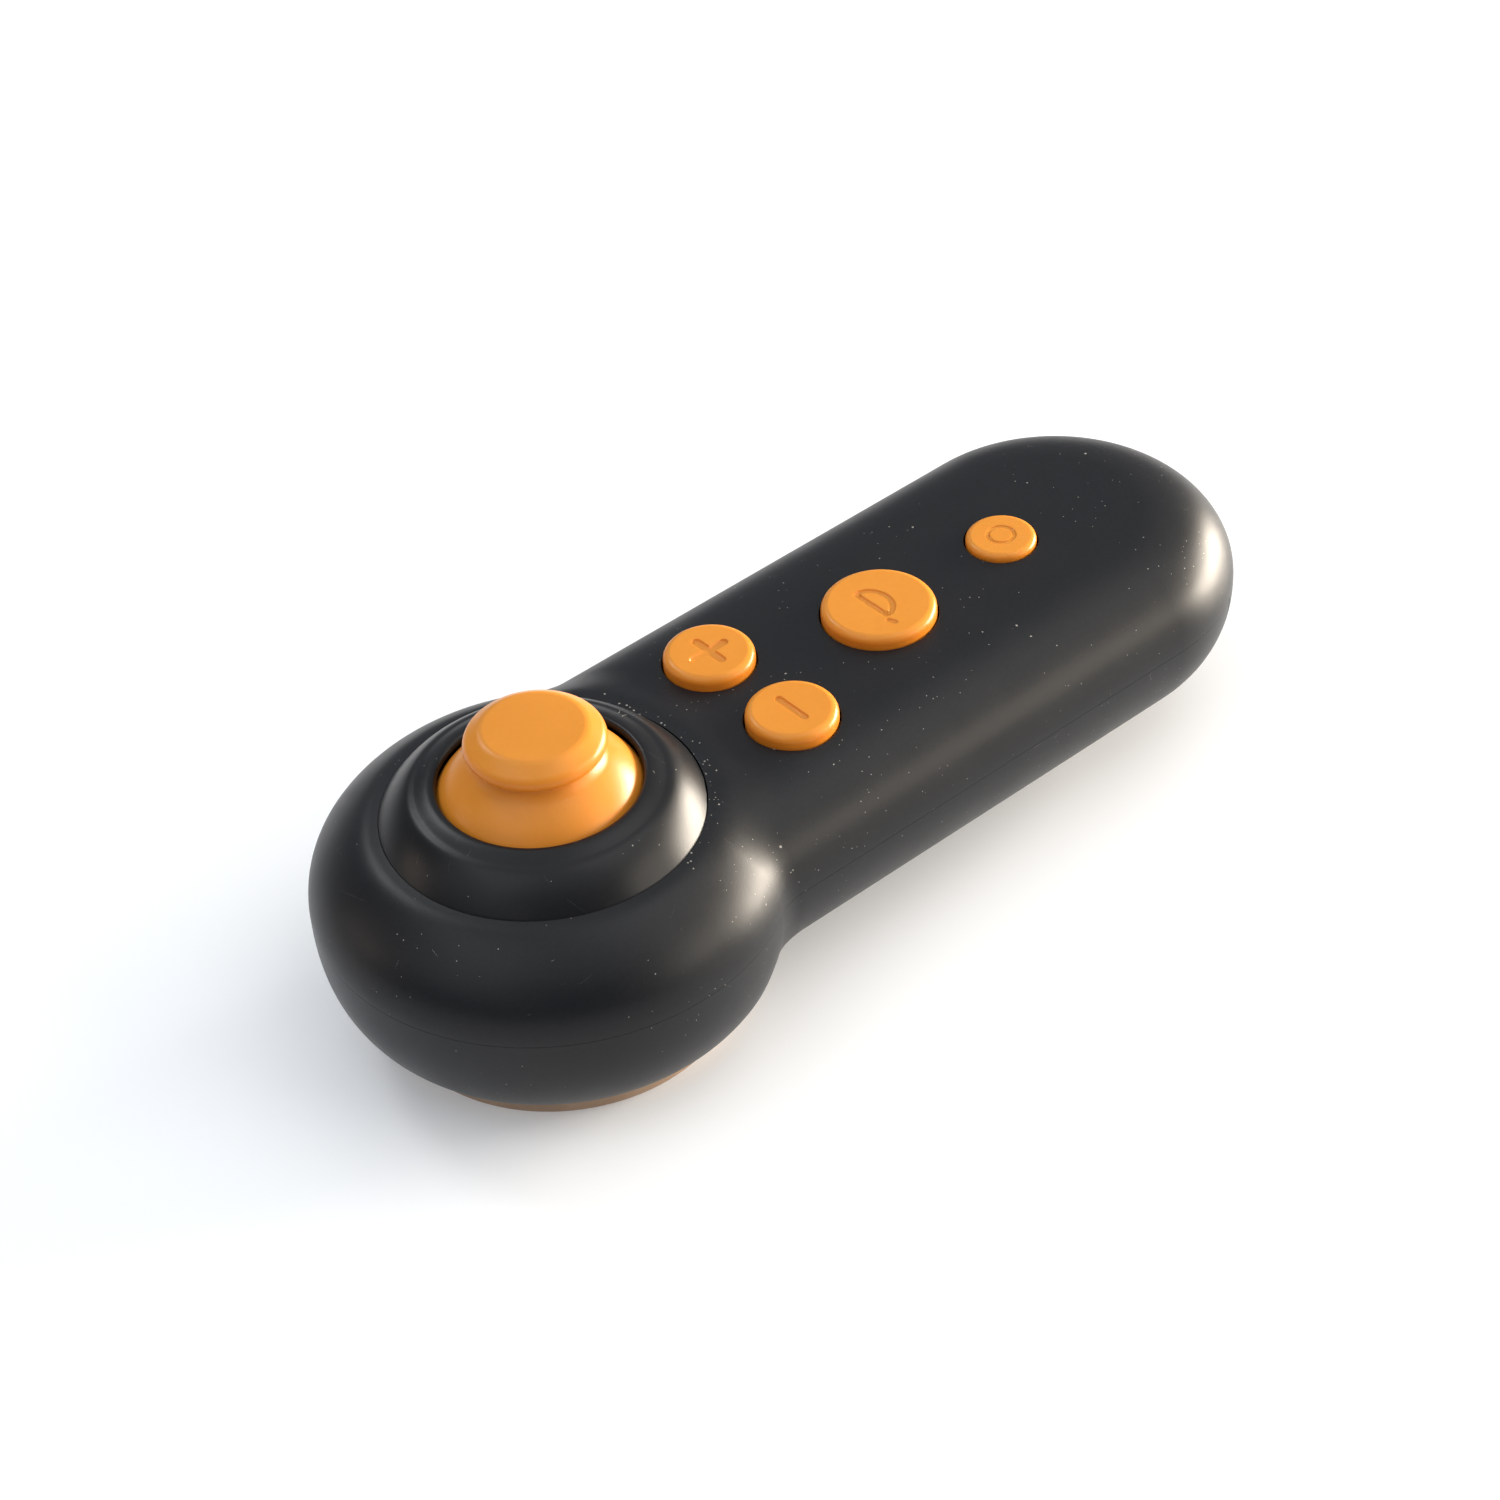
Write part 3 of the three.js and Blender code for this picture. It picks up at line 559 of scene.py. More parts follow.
def collar_plastic():
    """Satin black, a little glossier than the casing."""
    n = Nodes("satin_black")
    dust = n.math("MAXIMUM", specks(n, 650.0, 0.08, 0.1), specks(n, 1500.0, 0.12, 0.05))
    dust = n.math("MAXIMUM", dust, fibres(n, 200.0, 0.015))
    tones = ((0.0038, 0.0041, 0.005), (0.0054, 0.0058, 0.007), ((0.008, 0.0083, 0.0095), 0.4),
             ((0.4, 0.38, 0.34), 0.55))
    cloud = n.noise(60.0, 3.0, 0.55)
    return black_plastic(n, cloud, cloud, (0.3, 0.36), dust, tones, (6000.0, 0.2, 0.00003))


def orange_plastic():
    """Satin orange with a slight glow under the surface, faint handling marks, and painted shade that deepens
    the colour where the surface faces sideways.
    """
    n = Nodes("satin_orange")
    cloud = n.noise(90.0, 3.0, 0.55)
    grain = n.noise(4200.0, 2.0, 0.6)
    marks = n.noise(420.0, 5.0, 0.7)
    mottle = n.noise(1600.0, 3.0, 0.7)
    dust = n.math("MAXIMUM", specks(n, 800.0, 0.07, 0.03), specks(n, 2100.0, 0.12, 0.02))
    base = n.mix(n.remap(cloud, 0.3, 0.7), rgb(0.635, 0.238, 0.024), rgb(0.675, 0.256, 0.029))
    base = n.tint(base, n.remap(mottle, 0.4, 0.75), 0.22, (0.585, 0.195, 0.022))
    base = n.tint(base, n.remap(marks, 0.62, 0.8), 0.08, (0.5, 0.18, 0.04))
    # Painted shade: where the surface faces sideways (button sides, the stick's skirt) the orange is mixed
    # towards a deeper, darker tone, in place of the shade that falls there.
    facing = n.split("ShaderNodeSeparateXYZ", n.add("ShaderNodeTexCoord").outputs["Normal"])
    flank = n.remap(facing["Z"], 0.1, 0.9, 0.75, 0.0)
    base = n.mix(flank, base, rgb(0.67, 0.19, 0.015))
    base = n.tint(base, dust, 0.45, (0.6, 0.5, 0.38))
    rough = n.remap(marks, 0.3, 0.75, 0.28, 0.36)
    n.set(base_color=base, roughness=rough, normal=n.bump(grain, 0.2, 0.00003))
    n.fix(specular_ior_level=0.27)
    n.fix(subsurface_weight=0.15, subsurface_radius=(1.0, 0.35, 0.08), subsurface_scale=0.0012)
    return n.material


def simple_plastic(name, low, high, rough=(0.45, 0.55), grain_scale=3500.0, grain_bump=0.15):
    n = Nodes(name)
    cloud = n.noise(120.0, 3.0, 0.55)
    grain = n.noise(grain_scale, 2.0, 0.6)
    dust = specks(n, 800.0, 0.14, 0.04)
    base = n.mix(n.remap(cloud, 0.3, 0.7), rgb(*low), rgb(*high))
    base = n.tint(base, dust, 0.25, (0.4, 0.38, 0.36))
    n.set(base_color=base, roughness=n.remap(cloud, 0.3, 0.7, *rough),
          normal=n.bump(grain, grain_bump, 0.00003))
    return n.material


def metal(name, colour, dark, rough=(0.22, 0.38), streak=True):
    n = Nodes(name)
    stretch = n.add("ShaderNodeMapping")
    n.put(stretch.inputs["Vector"], n.place)
    stretch.inputs["Scale"].default_value = (1.0, 14.0, 1.0) if streak else (1.0, 1.0, 1.0)
    lines = n.noise(900.0, 3.0, 0.6, vector=stretch.outputs["Vector"])
    stain = n.noise(260.0, 4.0, 0.6)
    base = n.mix(n.remap(stain, 0.5, 0.8), rgb(*colour), rgb(*dark))
    n.set(base_color=base, roughness=n.remap(lines, 0.3, 0.7, *rough), normal=n.bump(lines, 0.12, 0.00002))
    n.fix(metallic=1.0)
    return n.material


def board_laminate():
    """Green solder mask with the faint weave of the glass cloth under it and paler copper tracks."""
    n = Nodes("board_laminate")
    at = n.split("ShaderNodeSeparateXYZ", n.place)
    across = n.math("SINE", n.math("MULTIPLY", at["X"], 9000.0))
    along = n.math("SINE", n.math("MULTIPLY", at["Y"], 9000.0))
    weave = n.math("MULTIPLY", across, along)
    tracks = n.cells(230.0, 0.0)
    tracks.distance = "MANHATTAN"
    line = n.math("LESS_THAN", n.math("ABSOLUTE", n.math("SUBTRACT", tracks.outputs["Distance"], 0.42)), 0.05)
    base = n.mix(n.noise(300.0), rgb(0.008, 0.085, 0.035), rgb(0.012, 0.12, 0.05))
    base = n.tint(base, line, 0.6, (0.03, 0.22, 0.09))
    n.set(base_color=base, roughness=n.remap(weave, -1.0, 1.0, 0.3, 0.42), normal=n.bump(weave, 0.1, 0.00002))
    return n.material


def cell_wrapper():
    """A plain printed wrapper: a coloured sleeve with a pale band towards one end."""
    n = Nodes("cell_wrapper")
    at = n.split("ShaderNodeSeparateXYZ", n.place)
    scuff = n.noise(700.0, 5.0, 0.7)
    band = n.math("SINE", n.math("MULTIPLY", at["X"], 150.0))
    base = n.mix(n.noise(60.0), rgb(0.015, 0.11, 0.2), rgb(0.02, 0.14, 0.24))
    base = n.mix(n.math("GREATER_THAN", band, 0.93), base, rgb(0.62, 0.64, 0.62))
    base = n.tint(base, n.remap(scuff, 0.64, 0.78), 0.4, (0.4, 0.42, 0.42))
    n.set(base_color=base, roughness=n.remap(scuff, 0.3, 0.8, 0.24, 0.4), normal=n.bump(scuff, 0.06, 0.00003))
    n.fix(coat_weight=0.4, coat_roughness=0.15)
    return n.material


def dark_rubber():
    n = Nodes("dark_rubber")
    grain = n.noise(2600.0, 4.0, 0.65)
    cloud = n.noise(200.0, 3.0, 0.6)
    base = n.mix(cloud, rgb(0.008, 0.008, 0.009), rgb(0.018, 0.018, 0.019))
    n.set(base_color=base, roughness=n.remap(cloud, 0.3, 0.7, 0.72, 0.88), normal=n.bump(grain, 0.3, 0.00006))
    return n.material


def brown_rubber():
    """Dull brown rubber with a fine grain and lighter scuffs."""
    n = Nodes("brown_rubber")
    grain = n.noise(2400.0, 4.0, 0.65)
    cloud = n.noise(160.0, 3.0, 0.6)
    scuff = n.noise(520.0, 5.0, 0.7)
    base = n.mix(n.remap(cloud, 0.3, 0.7), rgb(0.32, 0.21, 0.135), rgb(0.39, 0.265, 0.18))
    base = n.tint(base, n.remap(scuff, 0.6, 0.8), 0.3, (0.34, 0.27, 0.21))
    n.set(base_color=base, roughness=n.remap(cloud, 0.3, 0.7, 0.6, 0.75), normal=n.bump(grain, 0.3, 0.00006))
    return n.material


def floor_paper():
    n = Nodes("floor_paper")
    cloud = n.noise(3.0, 2.0, 0.5)
    base = n.mix(cloud, rgb(0.765, 0.775, 0.785), rgb(0.78, 0.788, 0.797))
    n.set(base_color=base, roughness=0.38, normal=n.bump(n.noise(900.0, 3.0, 0.6), 0.05, 0.0001))
    n.fix(emission_color=rgb(0.96, 0.98, 1.0), emission_strength=0.16)
    return n.material


FINISHES = {
    "casing": casing_plastic(),
    "collar": collar_plastic(),
    "orange": orange_plastic(),
    "pad": brown_rubber(),
    "rubber": dark_rubber(),
    "nylon": simple_plastic("pale_nylon", (0.6, 0.58, 0.52), (0.68, 0.66, 0.6)),
    "frame": simple_plastic("frame_plastic", (0.016, 0.017, 0.019), (0.024, 0.025, 0.028)),
    "board": board_laminate(),
    "chip": simple_plastic("moulded_chip", (0.008, 0.008, 0.009), (0.014, 0.014, 0.015), (0.5, 0.62)),
    "steel": metal("bright_steel", (0.62, 0.63, 0.65), (0.42, 0.42, 0.43)),
    "brass": metal("plated_brass", (0.72, 0.52, 0.22), (0.48, 0.33, 0.14)),
    "cell": cell_wrapper(),
}


def dress(obj, finish):
    obj.data.materials.clear()
    obj.data.materials.append(FINISHES[finish])
    return obj


def piece(obj, name, body, finish, node):
    obj.name = name
    obj.data.name = name
    dress(obj, finish)
    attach(obj, body)
    if node:
        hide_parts(node)
    return obj


# ---- casing ----
BUTTON_R = {"plus": 5.75, "minus": 5.75, "function": 7.3, "power": 4.55}
HOLE_CLEARANCE = 0.22
CASE_SCREWS = [f"case_screw_{end}_{side}" for end in ("head", "end") for side in ("left", "right")]
BOARD_SCREWS = ["board_screw_left", "board_screw_right"]
CASE_POST_R, BOARD_POST_R, BOSS_R = 2.6, 2.2, 2.9
PILOT_R, BORE_R, HEAD_BORE_R, HEAD_BORE_TOP = 1.15, 1.15, 2.3, 9.2
HEAD_POST_TOP = 23.5
SEAM_HALF = 0.015
COVER_X0, COVER_HALF, COVER_CORNER = COVER_LOW[0], 19.8, 1.6
TRAY_Z0, TRAY_Z1, TRAY_WALL = 15.8, 17.0, 1.5
BAY_X, BAY_HALF, RIB, RIB_Z = (-12.0, 40.0), 12.6, 1.2, 6.3
REAR_BOSS_R, REAR_BOSS_TOP = 4.9, 4.6


def centre_of(node):
    low, high = box_mm(node)
    return (low[0] + high[0]) / 2, (low[1] + high[1]) / 2, low, high


def inner_lump(inset=WALL):
    return lump("inner", inset, 20, (True, False), spacing=2.0)


def outer_lump():
    return lump("outer", 0.0, 24, (True, False), spacing=1.5)


def prism(points, z0, z1):
    """An upright prism over a plan polygon."""
    n = len(points)
    vertices = [(x, y, z0) for x, y in points] + [(x, y, z1) for x, y in points]
    faces = [tuple(range(n))[::-1], tuple(range(n, 2 * n))]
    return outward(new_object("prism", vertices, faces + bridge(0, n, n)))


def cover_space(gap, top):
    """The room of the battery cover, with rounded corners at its neck end."""
    half, x0, r = COVER_HALF + gap, COVER_X0 - gap, COVER_CORNER + gap
    corners = [(x0, -half, r), (x0, half, r)]
    plan = filleted([(FAR, -half, 0), *corners, (FAR, half, 0)])
    return prism(plan, -FAR, top)


def top_shell():
    shell = lump("top_shell_skin", 0.0, 64, (True,), rim=Z_PART + SEAM_HALF, fillet=SEAM_FILLET)
    cut(shell, inner_lump())
    cut(shell, hole_tool(HEAD_X, 0, COLLAR_R + 0.02, Z_PART - 4, 0.04, segments=144))
    for name, r in BUTTON_R.items():
        x, y, _, _ = centre_of(f"button_{name}")
        cut(shell, hole_tool(x, y, r + HOLE_CLEARANCE, Z_PART - 4))
    for name in CASE_SCREWS + BOARD_SCREWS:
        x, y, _, high = centre_of(name)
        low = Z_PART + GAP if name in CASE_SCREWS else 20.5
        top = HEAD_POST_TOP if "head" in name else Z_TOP - WALL / 2
        post = rod(CASE_POST_R if name in CASE_SCREWS else BOARD_POST_R, x, y, low, top)
        boolean(shell, "UNION", boolean(post, "INTERSECT", inner_lump(WALL / 2)))
        cut(shell, rod(PILOT_R, x, y, low - 1, high[2] + GAP))
    return finish_mesh(shell, casing=(True,))


def battery_tray():
    back = COVER_X0 - GAP
    tray = block(back - TRAY_WALL, FAR, -FAR, FAR, TRAY_Z0, TRAY_Z1)
    boolean(tray, "UNION", block(back - TRAY_WALL, back, -FAR, FAR, Z_BASE, TRAY_Z1))
    beside = tray.copy()
    beside.data = tray.data.copy()
    bpy.context.scene.collection.objects.link(beside)
    boolean(beside, "INTERSECT", inner_lump(WALL / 2))
    cut(beside, cover_space(GAP, RIM_BOTTOM + GAP))
    boolean(tray, "INTERSECT", inner_lump(WALL + GAP))
    return boolean(tray, "UNION", beside)


def bottom_shell():
    shell = lump("bottom_shell_skin", 0.0, 64, (False,), rim=Z_PART - SEAM_HALF, fillet=SEAM_FILLET)
    cut(shell, inner_lump(), cover_space(GAP, RIM_BOTTOM + GAP))
    boolean(shell, "UNION", battery_tray())
    x0, x1 = BAY_X
    hang = (TRAY_Z0 + TRAY_Z1) / 2
    boolean(
        shell, "UNION",
        block(x0 - RIB, x0, -BAY_HALF, BAY_HALF, RIB_Z, hang),
        block(x1, x1 + RIB, -BAY_HALF, BAY_HALF, RIB_Z, hang),
        block(x0, x1, -BAY_HALF, RIB / 2 - BAY_HALF, RIB_Z, hang),
        block(x0, x1, BAY_HALF - RIB / 2, BAY_HALF, RIB_Z, hang),
    )
    for name in CASE_SCREWS:
        x, y, _, _ = centre_of(name)
        if "head" in name:
            boss = rod(BOSS_R, x, y, Z_BASE, Z_PART - SEAM_HALF - 0.1)
            boolean(shell, "UNION", boolean(boss, "INTERSECT", outer_lump()))
            cut(shell, rod(HEAD_BORE_R, x, y, -1, HEAD_BORE_TOP))
        cut(shell, rod(BORE_R, x, y, -1, FAR))
    seat_r = PAD_HIGH[0] - HEAD_X + GAP
    cut(shell, rod(seat_r, HEAD_X, 0, -1, PAD_HIGH[2] + GAP, segments=144))
    return finish_mesh(shell, casing=(False,))


def battery_cover():
    cover = lump("battery_cover_skin", 0.0, 64, (False,), rim=Z_PART - SEAM_HALF, fillet=SEAM_FILLET)
    cut(cover, inner_lump())
    boolean(cover, "INTERSECT", cover_space(0, Z_PART + 1))
    for side in ("left", "right"):
        x, y, _, high = centre_of(f"rear_foot_{side}")
        boss = rod(REAR_BOSS_R, x, y, 0, REAR_BOSS_TOP, segments=64)
        boolean(cover, "UNION", boolean(boss, "INTERSECT", outer_lump()))
        seat_r = (high[0] - x) + GAP
        cut(cover, rod(seat_r, x, y, -1, high[2] + GAP, segments=64))
    grip_r, grip_depth, grip_pitch = 1.6, 0.55, 3.4
    for k in range(5):
        x = COVER_X0 + 6 + k * grip_pitch
        groove = lathe("groove", [(0, -7), (grip_r - 0.4, -7), (grip_r, -6.6), (grip_r, 6.6),
                                  (grip_r - 0.4, 7), (0, 7)], 0, 0, 40)
        groove.data.transform(Matrix.Rotation(math.pi / 2, 4, "X"))
        groove.data.transform(Matrix.Translation((x, 0, Z_BASE + grip_depth - grip_r)))
        cut(cover, groove)
    tip = COVER_X0 + 29
    arrow = prism([(tip - 3.4, -2.6), (tip, 0), (tip - 3.4, 2.6)], -1, Z_BASE + 0.35)
    cut(cover, arrow)
    return finish_mesh(cover, casing=(False,))


piece(top_shell(), "top_shell_skin", "housing", "casing", "top_shell")
piece(bottom_shell(), "bottom_shell_skin", "housing", "casing", "bottom_shell")
piece(battery_cover(), "battery_cover_skin", "cover", "casing", "battery_cover")

# ---- feet ----
def round_foot(node, name, body, finish, edge, groove, segments):
    """A pad with a rounded face edge and a shallow ring groove in the face."""
    x, y, low, high = centre_of(node)
    r, z0, z1 = high[0] - x, low[2], high[2]
    profile = filleted([
        (0, z0, 0), (r - groove - 0.8, z0, 0.15), (r - groove - 0.6, z0 + 0.3, 0.1),
        (r - groove, z0 + 0.3, 0.1), (r - groove + 0.2, z0, 0.15), (r, z0, edge), (r, z1, 0.15), (0, z1, 0),
    ])
    piece(finish_mesh(lathe(name, profile, x, y, segments)), name, body, finish, node)


round_foot("foot_pad", "foot_pad_disc", "housing", "pad", 0.5, 3.2, 192)
for foot in ("rear_foot_left", "rear_foot_right"):
    round_foot(foot, f"{foot}_disc", "cover", "rubber", 0.4, 0.9, 64)


# ---- collar and thumb stick ----
def cubic(p0, p1, p2, p3, steps):
    """Points of a Bezier curve from p0 to p3."""
    t = np.linspace(0, 1, steps + 1)[:, None]
    weights = ((1 - t) ** 3, 3 * t * (1 - t) ** 2, 3 * t**2 * (1 - t), t**3)
    return [tuple(q) for q in sum(w * np.array(p, float) for w, p in zip(weights, (p0, p1, p2, p3)))]


def collar():
    """From the flange up the conical flank, over a soft valley and the round lip, and down inside."""
    flange_r = COLLAR_HIGH[0] - HEAD_X
    flank = cubic((COLLAR_R, 29.3), (18.6, 30.6), (17.2, 32.3), (15.9, 33.15), 26)
    valley = cubic((15.9, 33.15), (15.4, 33.475), (15.1, 33.45), (14.75, 33.6), 12)
    crest = cubic((14.75, 33.6), (13.95, 33.95), (12.3, 34.95), (12.22, 33.55), 22)
    hollow = arc(15.05, 57.8, 80, 14)
    profile = [
        (flange_r, COLLAR_LOW[2]), (flange_r, 25.6), (COLLAR_R, 25.6), *flank, *valley[1:], *crest[1:],
        (12.3, 33.36), (12.5, 33.18), *hollow, (15.05, COLLAR_LOW[2]),
    ]
    return finish_mesh(lathe("collar", profile, HEAD_X, 0, 192, closed=True), angle=40)


def stick_cap():
    top = CAP_HIGH[2]
    outer = filleted([
        (0, top, 0), (6.4, top, 1.8), (8.5, top - 1.45, 1.5), (8.5, 39.1, 0.9), (7.25, 38.4, 0.45),
        (7.6, 37.8, 0.6), *[(r, z, 0) for r, z in arc(14.5, 33.8, 76, 24)],
    ], steps=10)
    inner = [(r, z) for r, z in arc(13.3, 76, 15.8, 24)]
    profile = [*outer, *inner, (3.6, 34.4), (2.1, 34.4), (2.1, 39.3), (0, 39.3)]
    return finish_mesh(lathe("stick_cap", profile, HEAD_X, 0, 160), angle=40)


piece(collar(), "collar_ring", "housing", "collar", "stick_collar")
piece(stick_cap(), "thumb_cap", "stick", "orange", "stick_cap")


# ---- buttons ----
SOFT_LIP = 0.15  # the rounding along the top of an engraved stroke
ENGRAVED = 0.36  # depth of the deepest strokes
SIGN_HALF = 2.35  # half the length of a plus or minus stroke
BUTTON_EDGE, POWER_EDGE = 1.05, 0.8


def groove(path, closed, width, top, depth):
    """A cutting tool that presses a groove with rounded lips into a flat face along a path."""
    half, soft = width / 2, SOFT_LIP
    section = [(-half - 0.6, top + 0.5), (-half - soft, top), (-half - soft * 0.3, top - soft * 0.3),
               (-half, top - soft), (-half + 0.06, top - depth + 0.06), (-half + 0.14, top - depth)]
    section += [(-u, z) for u, z in section[::-1]]
    pts = np.array(path, float)
    n = len(pts)
    vertices, faces = [], []
    for i in range(n):
        before = pts[i - 1] if (closed or i) else pts[i]
        after = pts[(i + 1) % n] if (closed or i < n - 1) else pts[i]
        along = (after - before) / np.linalg.norm(after - before)
        side = np.array((-along[1], along[0]))
        vertices += [(*(pts[i] + side * u), z) for u, z in section]
    m = len(section)
    for i in range(n if closed else n - 1):
        faces += bridge(i * m, (i + 1) % n * m, m)
    if not closed:
        faces += [tuple(range(m)), tuple(range((n - 1) * m, n * m))[::-1]]
    return outward(new_object("groove", vertices, faces))


def slot_tool(x0, y0, x1, y1, width, top, depth):
    """A straight groove with round ends, as one closed ring round its middle line."""
    a, b = np.array((x0, y0)), np.array((x1, y1))
    along = (b - a) / np.linalg.norm(b - a)
    side = np.array((-along[1], along[0]))
    levels = [(0.6, 0.5), (SOFT_LIP, 0.0), (0.3 * SOFT_LIP, -0.3 * SOFT_LIP), (0.0, -SOFT_LIP),
              (-0.08, 0.06 - depth), (-0.18, -depth)]
    vertices, faces = [], []
    turns = 10
    for grow, z in levels:
        r = width / 2 + grow
        for centre, first in ((b, -90), (a, 90)):
            for k in range(turns + 1):
                t = math.radians(first + 180 * k / turns)
                q = centre + r * (math.cos(t) * along + math.sin(t) * side)
                vertices.append((q[0], q[1], top + z))
    m = 2 * (turns + 1)
    for j in range(len(levels) - 1):
        faces += bridge(j * m, (j + 1) * m, m)
    faces += [tuple(range(m))[::-1], tuple(range((len(levels) - 1) * m, len(levels) * m))]
    return outward(new_object("slot", vertices, faces))


def button(name, r):
    x, y, low, high = centre_of(f"button_{name}")
    top = high[2]
    flange_r, flange_z0, flange_z1, stem_r = high[0] - x, 24.9, 25.7, 1.6
    edge = POWER_EDGE if name == "power" else BUTTON_EDGE
    profile = filleted([
        (0, top, 0), (r, top, edge), (r, flange_z1, 0),
        (flange_r, flange_z1, 0.15), (flange_r, flange_z0, 0.15),
        (stem_r, flange_z0, 0.2), (stem_r, low[2], 0.2), (0, low[2], 0),
    ], steps=6)
    body = lathe(f"button_{name}", profile, x, y, 128)
    depth, half = ENGRAVED, SIGN_HALF
    if name == "minus":
        cut(body, slot_tool(x, y - half, x, y + half, 0.95, top, depth))
    if name == "plus":
        cut(body, slot_tool(x, y - half, x, y + half, 1.15, top, depth))
        cut(body, slot_tool(x - half, y, x + half, y, 1.15, top, depth))
    if name == "function":
        bend = [(x - 1.0 + 2.5 * math.sin(a), y + 0.3 + 2.9 * math.cos(a))
                for a in np.radians(np.linspace(0, 180, 25))]
        stroke = [(x - 1.0, y - 1.6), (x - 1.0, y + 2.2)]
        cut(body, groove([*bend, *stroke], True, 0.75, top, depth * 0.8))
        cut(body, slot_tool(x - 1.5, y - 3.5, x - 1.2, y - 4.3, 0.7, top, depth * 0.8))
    if name == "power":
        ring = [(x + 1.7 * math.cos(a), y + 1.7 * math.sin(a)) for a in np.radians(np.arange(0, 360, 7.5))]
        cut(body, groove(ring, True, 0.45, top, 0.16))
    return finish_mesh(body, angle=38, level=top)


for body_name, radius in BUTTON_R.items():
    node = f"button_{body_name}"
    piece(button(body_name, radius), f"{node}_cap", body_name, "orange", node)

# ---- screws ----
SCREW_R, THREAD_DEPTH, THREAD_PITCH, SCREW_POINT = 0.85, 0.17, 0.6, 0.6
CASE_HEAD, BOARD_HEAD = 1.3, 1.0


def screw(node):
    """A pan head below, with a cross recess, and a threaded shank with a blunt point above."""
    x, y, low, high = centre_of(node)
    head_r, z0, z1 = high[0] - x, low[2], high[2]
    neck = z0 + (CASE_HEAD if node in CASE_SCREWS else BOARD_HEAD)
    z = neck + THREAD_PITCH
    profile = filleted([
        (0, z0, 0), (head_r, z0, 0.5), (head_r, neck, 0.1), (SCREW_R, neck, 0.1), (SCREW_R, z, 0),
    ])
    while z + THREAD_PITCH < z1 - SCREW_POINT:
        profile += [(SCREW_R - THREAD_DEPTH, z + 0.4 * THREAD_PITCH), (SCREW_R, z + THREAD_PITCH)]
        z += THREAD_PITCH
    profile += [(SCREW_R - THREAD_DEPTH, z1 - SCREW_POINT), (0.15, z1), (0, z1)]
    body = lathe(node, profile, x, y, 40)
    arm, half, deep = 1.15, 0.24, 0.75
    cut_cross(body, x, y, arm, half, z0 - 1, z0 + deep, 0.08)
    return finish_mesh(body)


def screw_plug(node):
    """A soft plug that closes a screw's bore and follows the casing's curve just under its skin."""
    x, y, low, _ = centre_of(node)
    recess, ease = 0.2, 0.07
    plug = rod(HEAD_BORE_R - ease, x, y, 0, low[2] - 0.1, segments=48)
    return finish_mesh(boolean(plug, "INTERSECT", inner_lump(recess)))


for node in CASE_SCREWS + BOARD_SCREWS:
    piece(screw(node), f"{node}_threaded", "housing", "steel", node)
for node in CASE_SCREWS[:2]:
    piece(screw_plug(node), f"{node}_plug", "housing", "rubber", None)


# ---- battery cells, plates and springs ----
def lay_along_x(obj, y, z, forward):
    """Turns a mesh that was made along +Z on the origin so that it runs along X, either way."""
    turn = math.pi / 2 if forward else -math.pi / 2
    obj.data.transform(Matrix.Translation((0, y, z)) @ Matrix.Rotation(turn, 4, "Y"))
    return obj


def cell_parts(node, tip_forward):
    """The can with its two ends, and the printed sleeve that folds over both of them."""
    _, y, low, high = centre_of(node)
    z, r = (low[2] + high[2]) / 2, (high[2] - low[2]) / 2
    start, length = (low[0], high[0] - low[0]) if tip_forward else (-high[0], high[0] - low[0])
    tip, tip_r, fold, film = 0.8, 1.9, 0.9, 0.06
    end = start + length
    shoulder = end - tip
    can = filleted([
        (0, start, 0), (r - 1.6, start, 0.1), (r - 1.4, start + 0.15, 0.1),
        (r - film, start + 0.15, 0.35), (r - film, shoulder - 0.12, 0.35),
        (tip_r + 0.7, shoulder - 0.12, 0.1), (tip_r + 0.5, shoulder - 0.3, 0.1),
        (tip_r, shoulder - 0.3, 0.1), (tip_r, end, 0.3), (0, end, 0),
    ])
    sleeve = filleted([
        (r - film, start + 1, 0), (r - fold, start + 0.15, 0),
        (r - fold, start + 0.05, 0.02), (r, start + 0.05, 0.4),
        (r, shoulder, 0.4), (r - fold, shoulder, 0.02),
        (r - fold, shoulder - 0.1, 0), (r - film, shoulder - 1, 0),
    ])
    return [finish_mesh(lay_along_x(obj, y, z, tip_forward))
            for obj in (lathe("can", can, 0, 0, 72), lathe("sleeve", sleeve, 0, 0, 72, closed=True))]


def cell_plate(node):
    _, y, low, high = centre_of(node)
    plate = slab(low, high, low[2], high[2], bevel=0.1)
    slot_half, slot_high = 2.6, 0.5
    for z in (low[2] + 1.0, high[2] - 1.8):
        slot = block(low[0] - 1, high[0] + 1, y - slot_half, y + slot_half, z, z + slot_high, 0.1)
        cut(plate, slot)
    return finish_mesh(plate)


SPRING_WIRE = 0.35  # radius of the wire


def coil(node, turns, wire, axis):
    """A coil spring as a swept round wire, whose first and last turns close up."""
    low, high = box_mm(node)
    centre = (low + high) / 2
    across = (axis + 1) % 3
    r = (high[across] - low[across]) / 2 - wire
    length = high[axis] - low[axis] - 2 * wire
    section, steps = 10, 28
    count = turns * steps
    vertices, faces = [], []
    for i in range(count + 1):
        t = i / count
        a = 2 * math.pi * turns * t
        eased = 0.35 * t + 0.65 * float(smoothstep(t, 0.0, 1.0))
        along = (eased - 0.5) * length
        radial = np.array((math.cos(a), math.sin(a), 0.0))
        upright = np.array((0.0, 0.0, 1.0))
        for k in range(section):
            b = 2 * math.pi * k / section
            vertices.append(radial * (r + wire * math.cos(b)) + upright * (along + wire * math.sin(b)))
    for i in range(count):
        faces += bridge(i * section, (i + 1) * section, section)
    faces += [tuple(range(section)), tuple(range(count * section, (count + 1) * section))[::-1]]
    spring = outward(new_object("coil", vertices, faces))
    if axis == 0:
        spring.data.transform(Matrix.Rotation(math.pi / 2, 4, "Y"))
    spring.data.transform(Matrix.Translation(centre))
    return finish_mesh(spring)


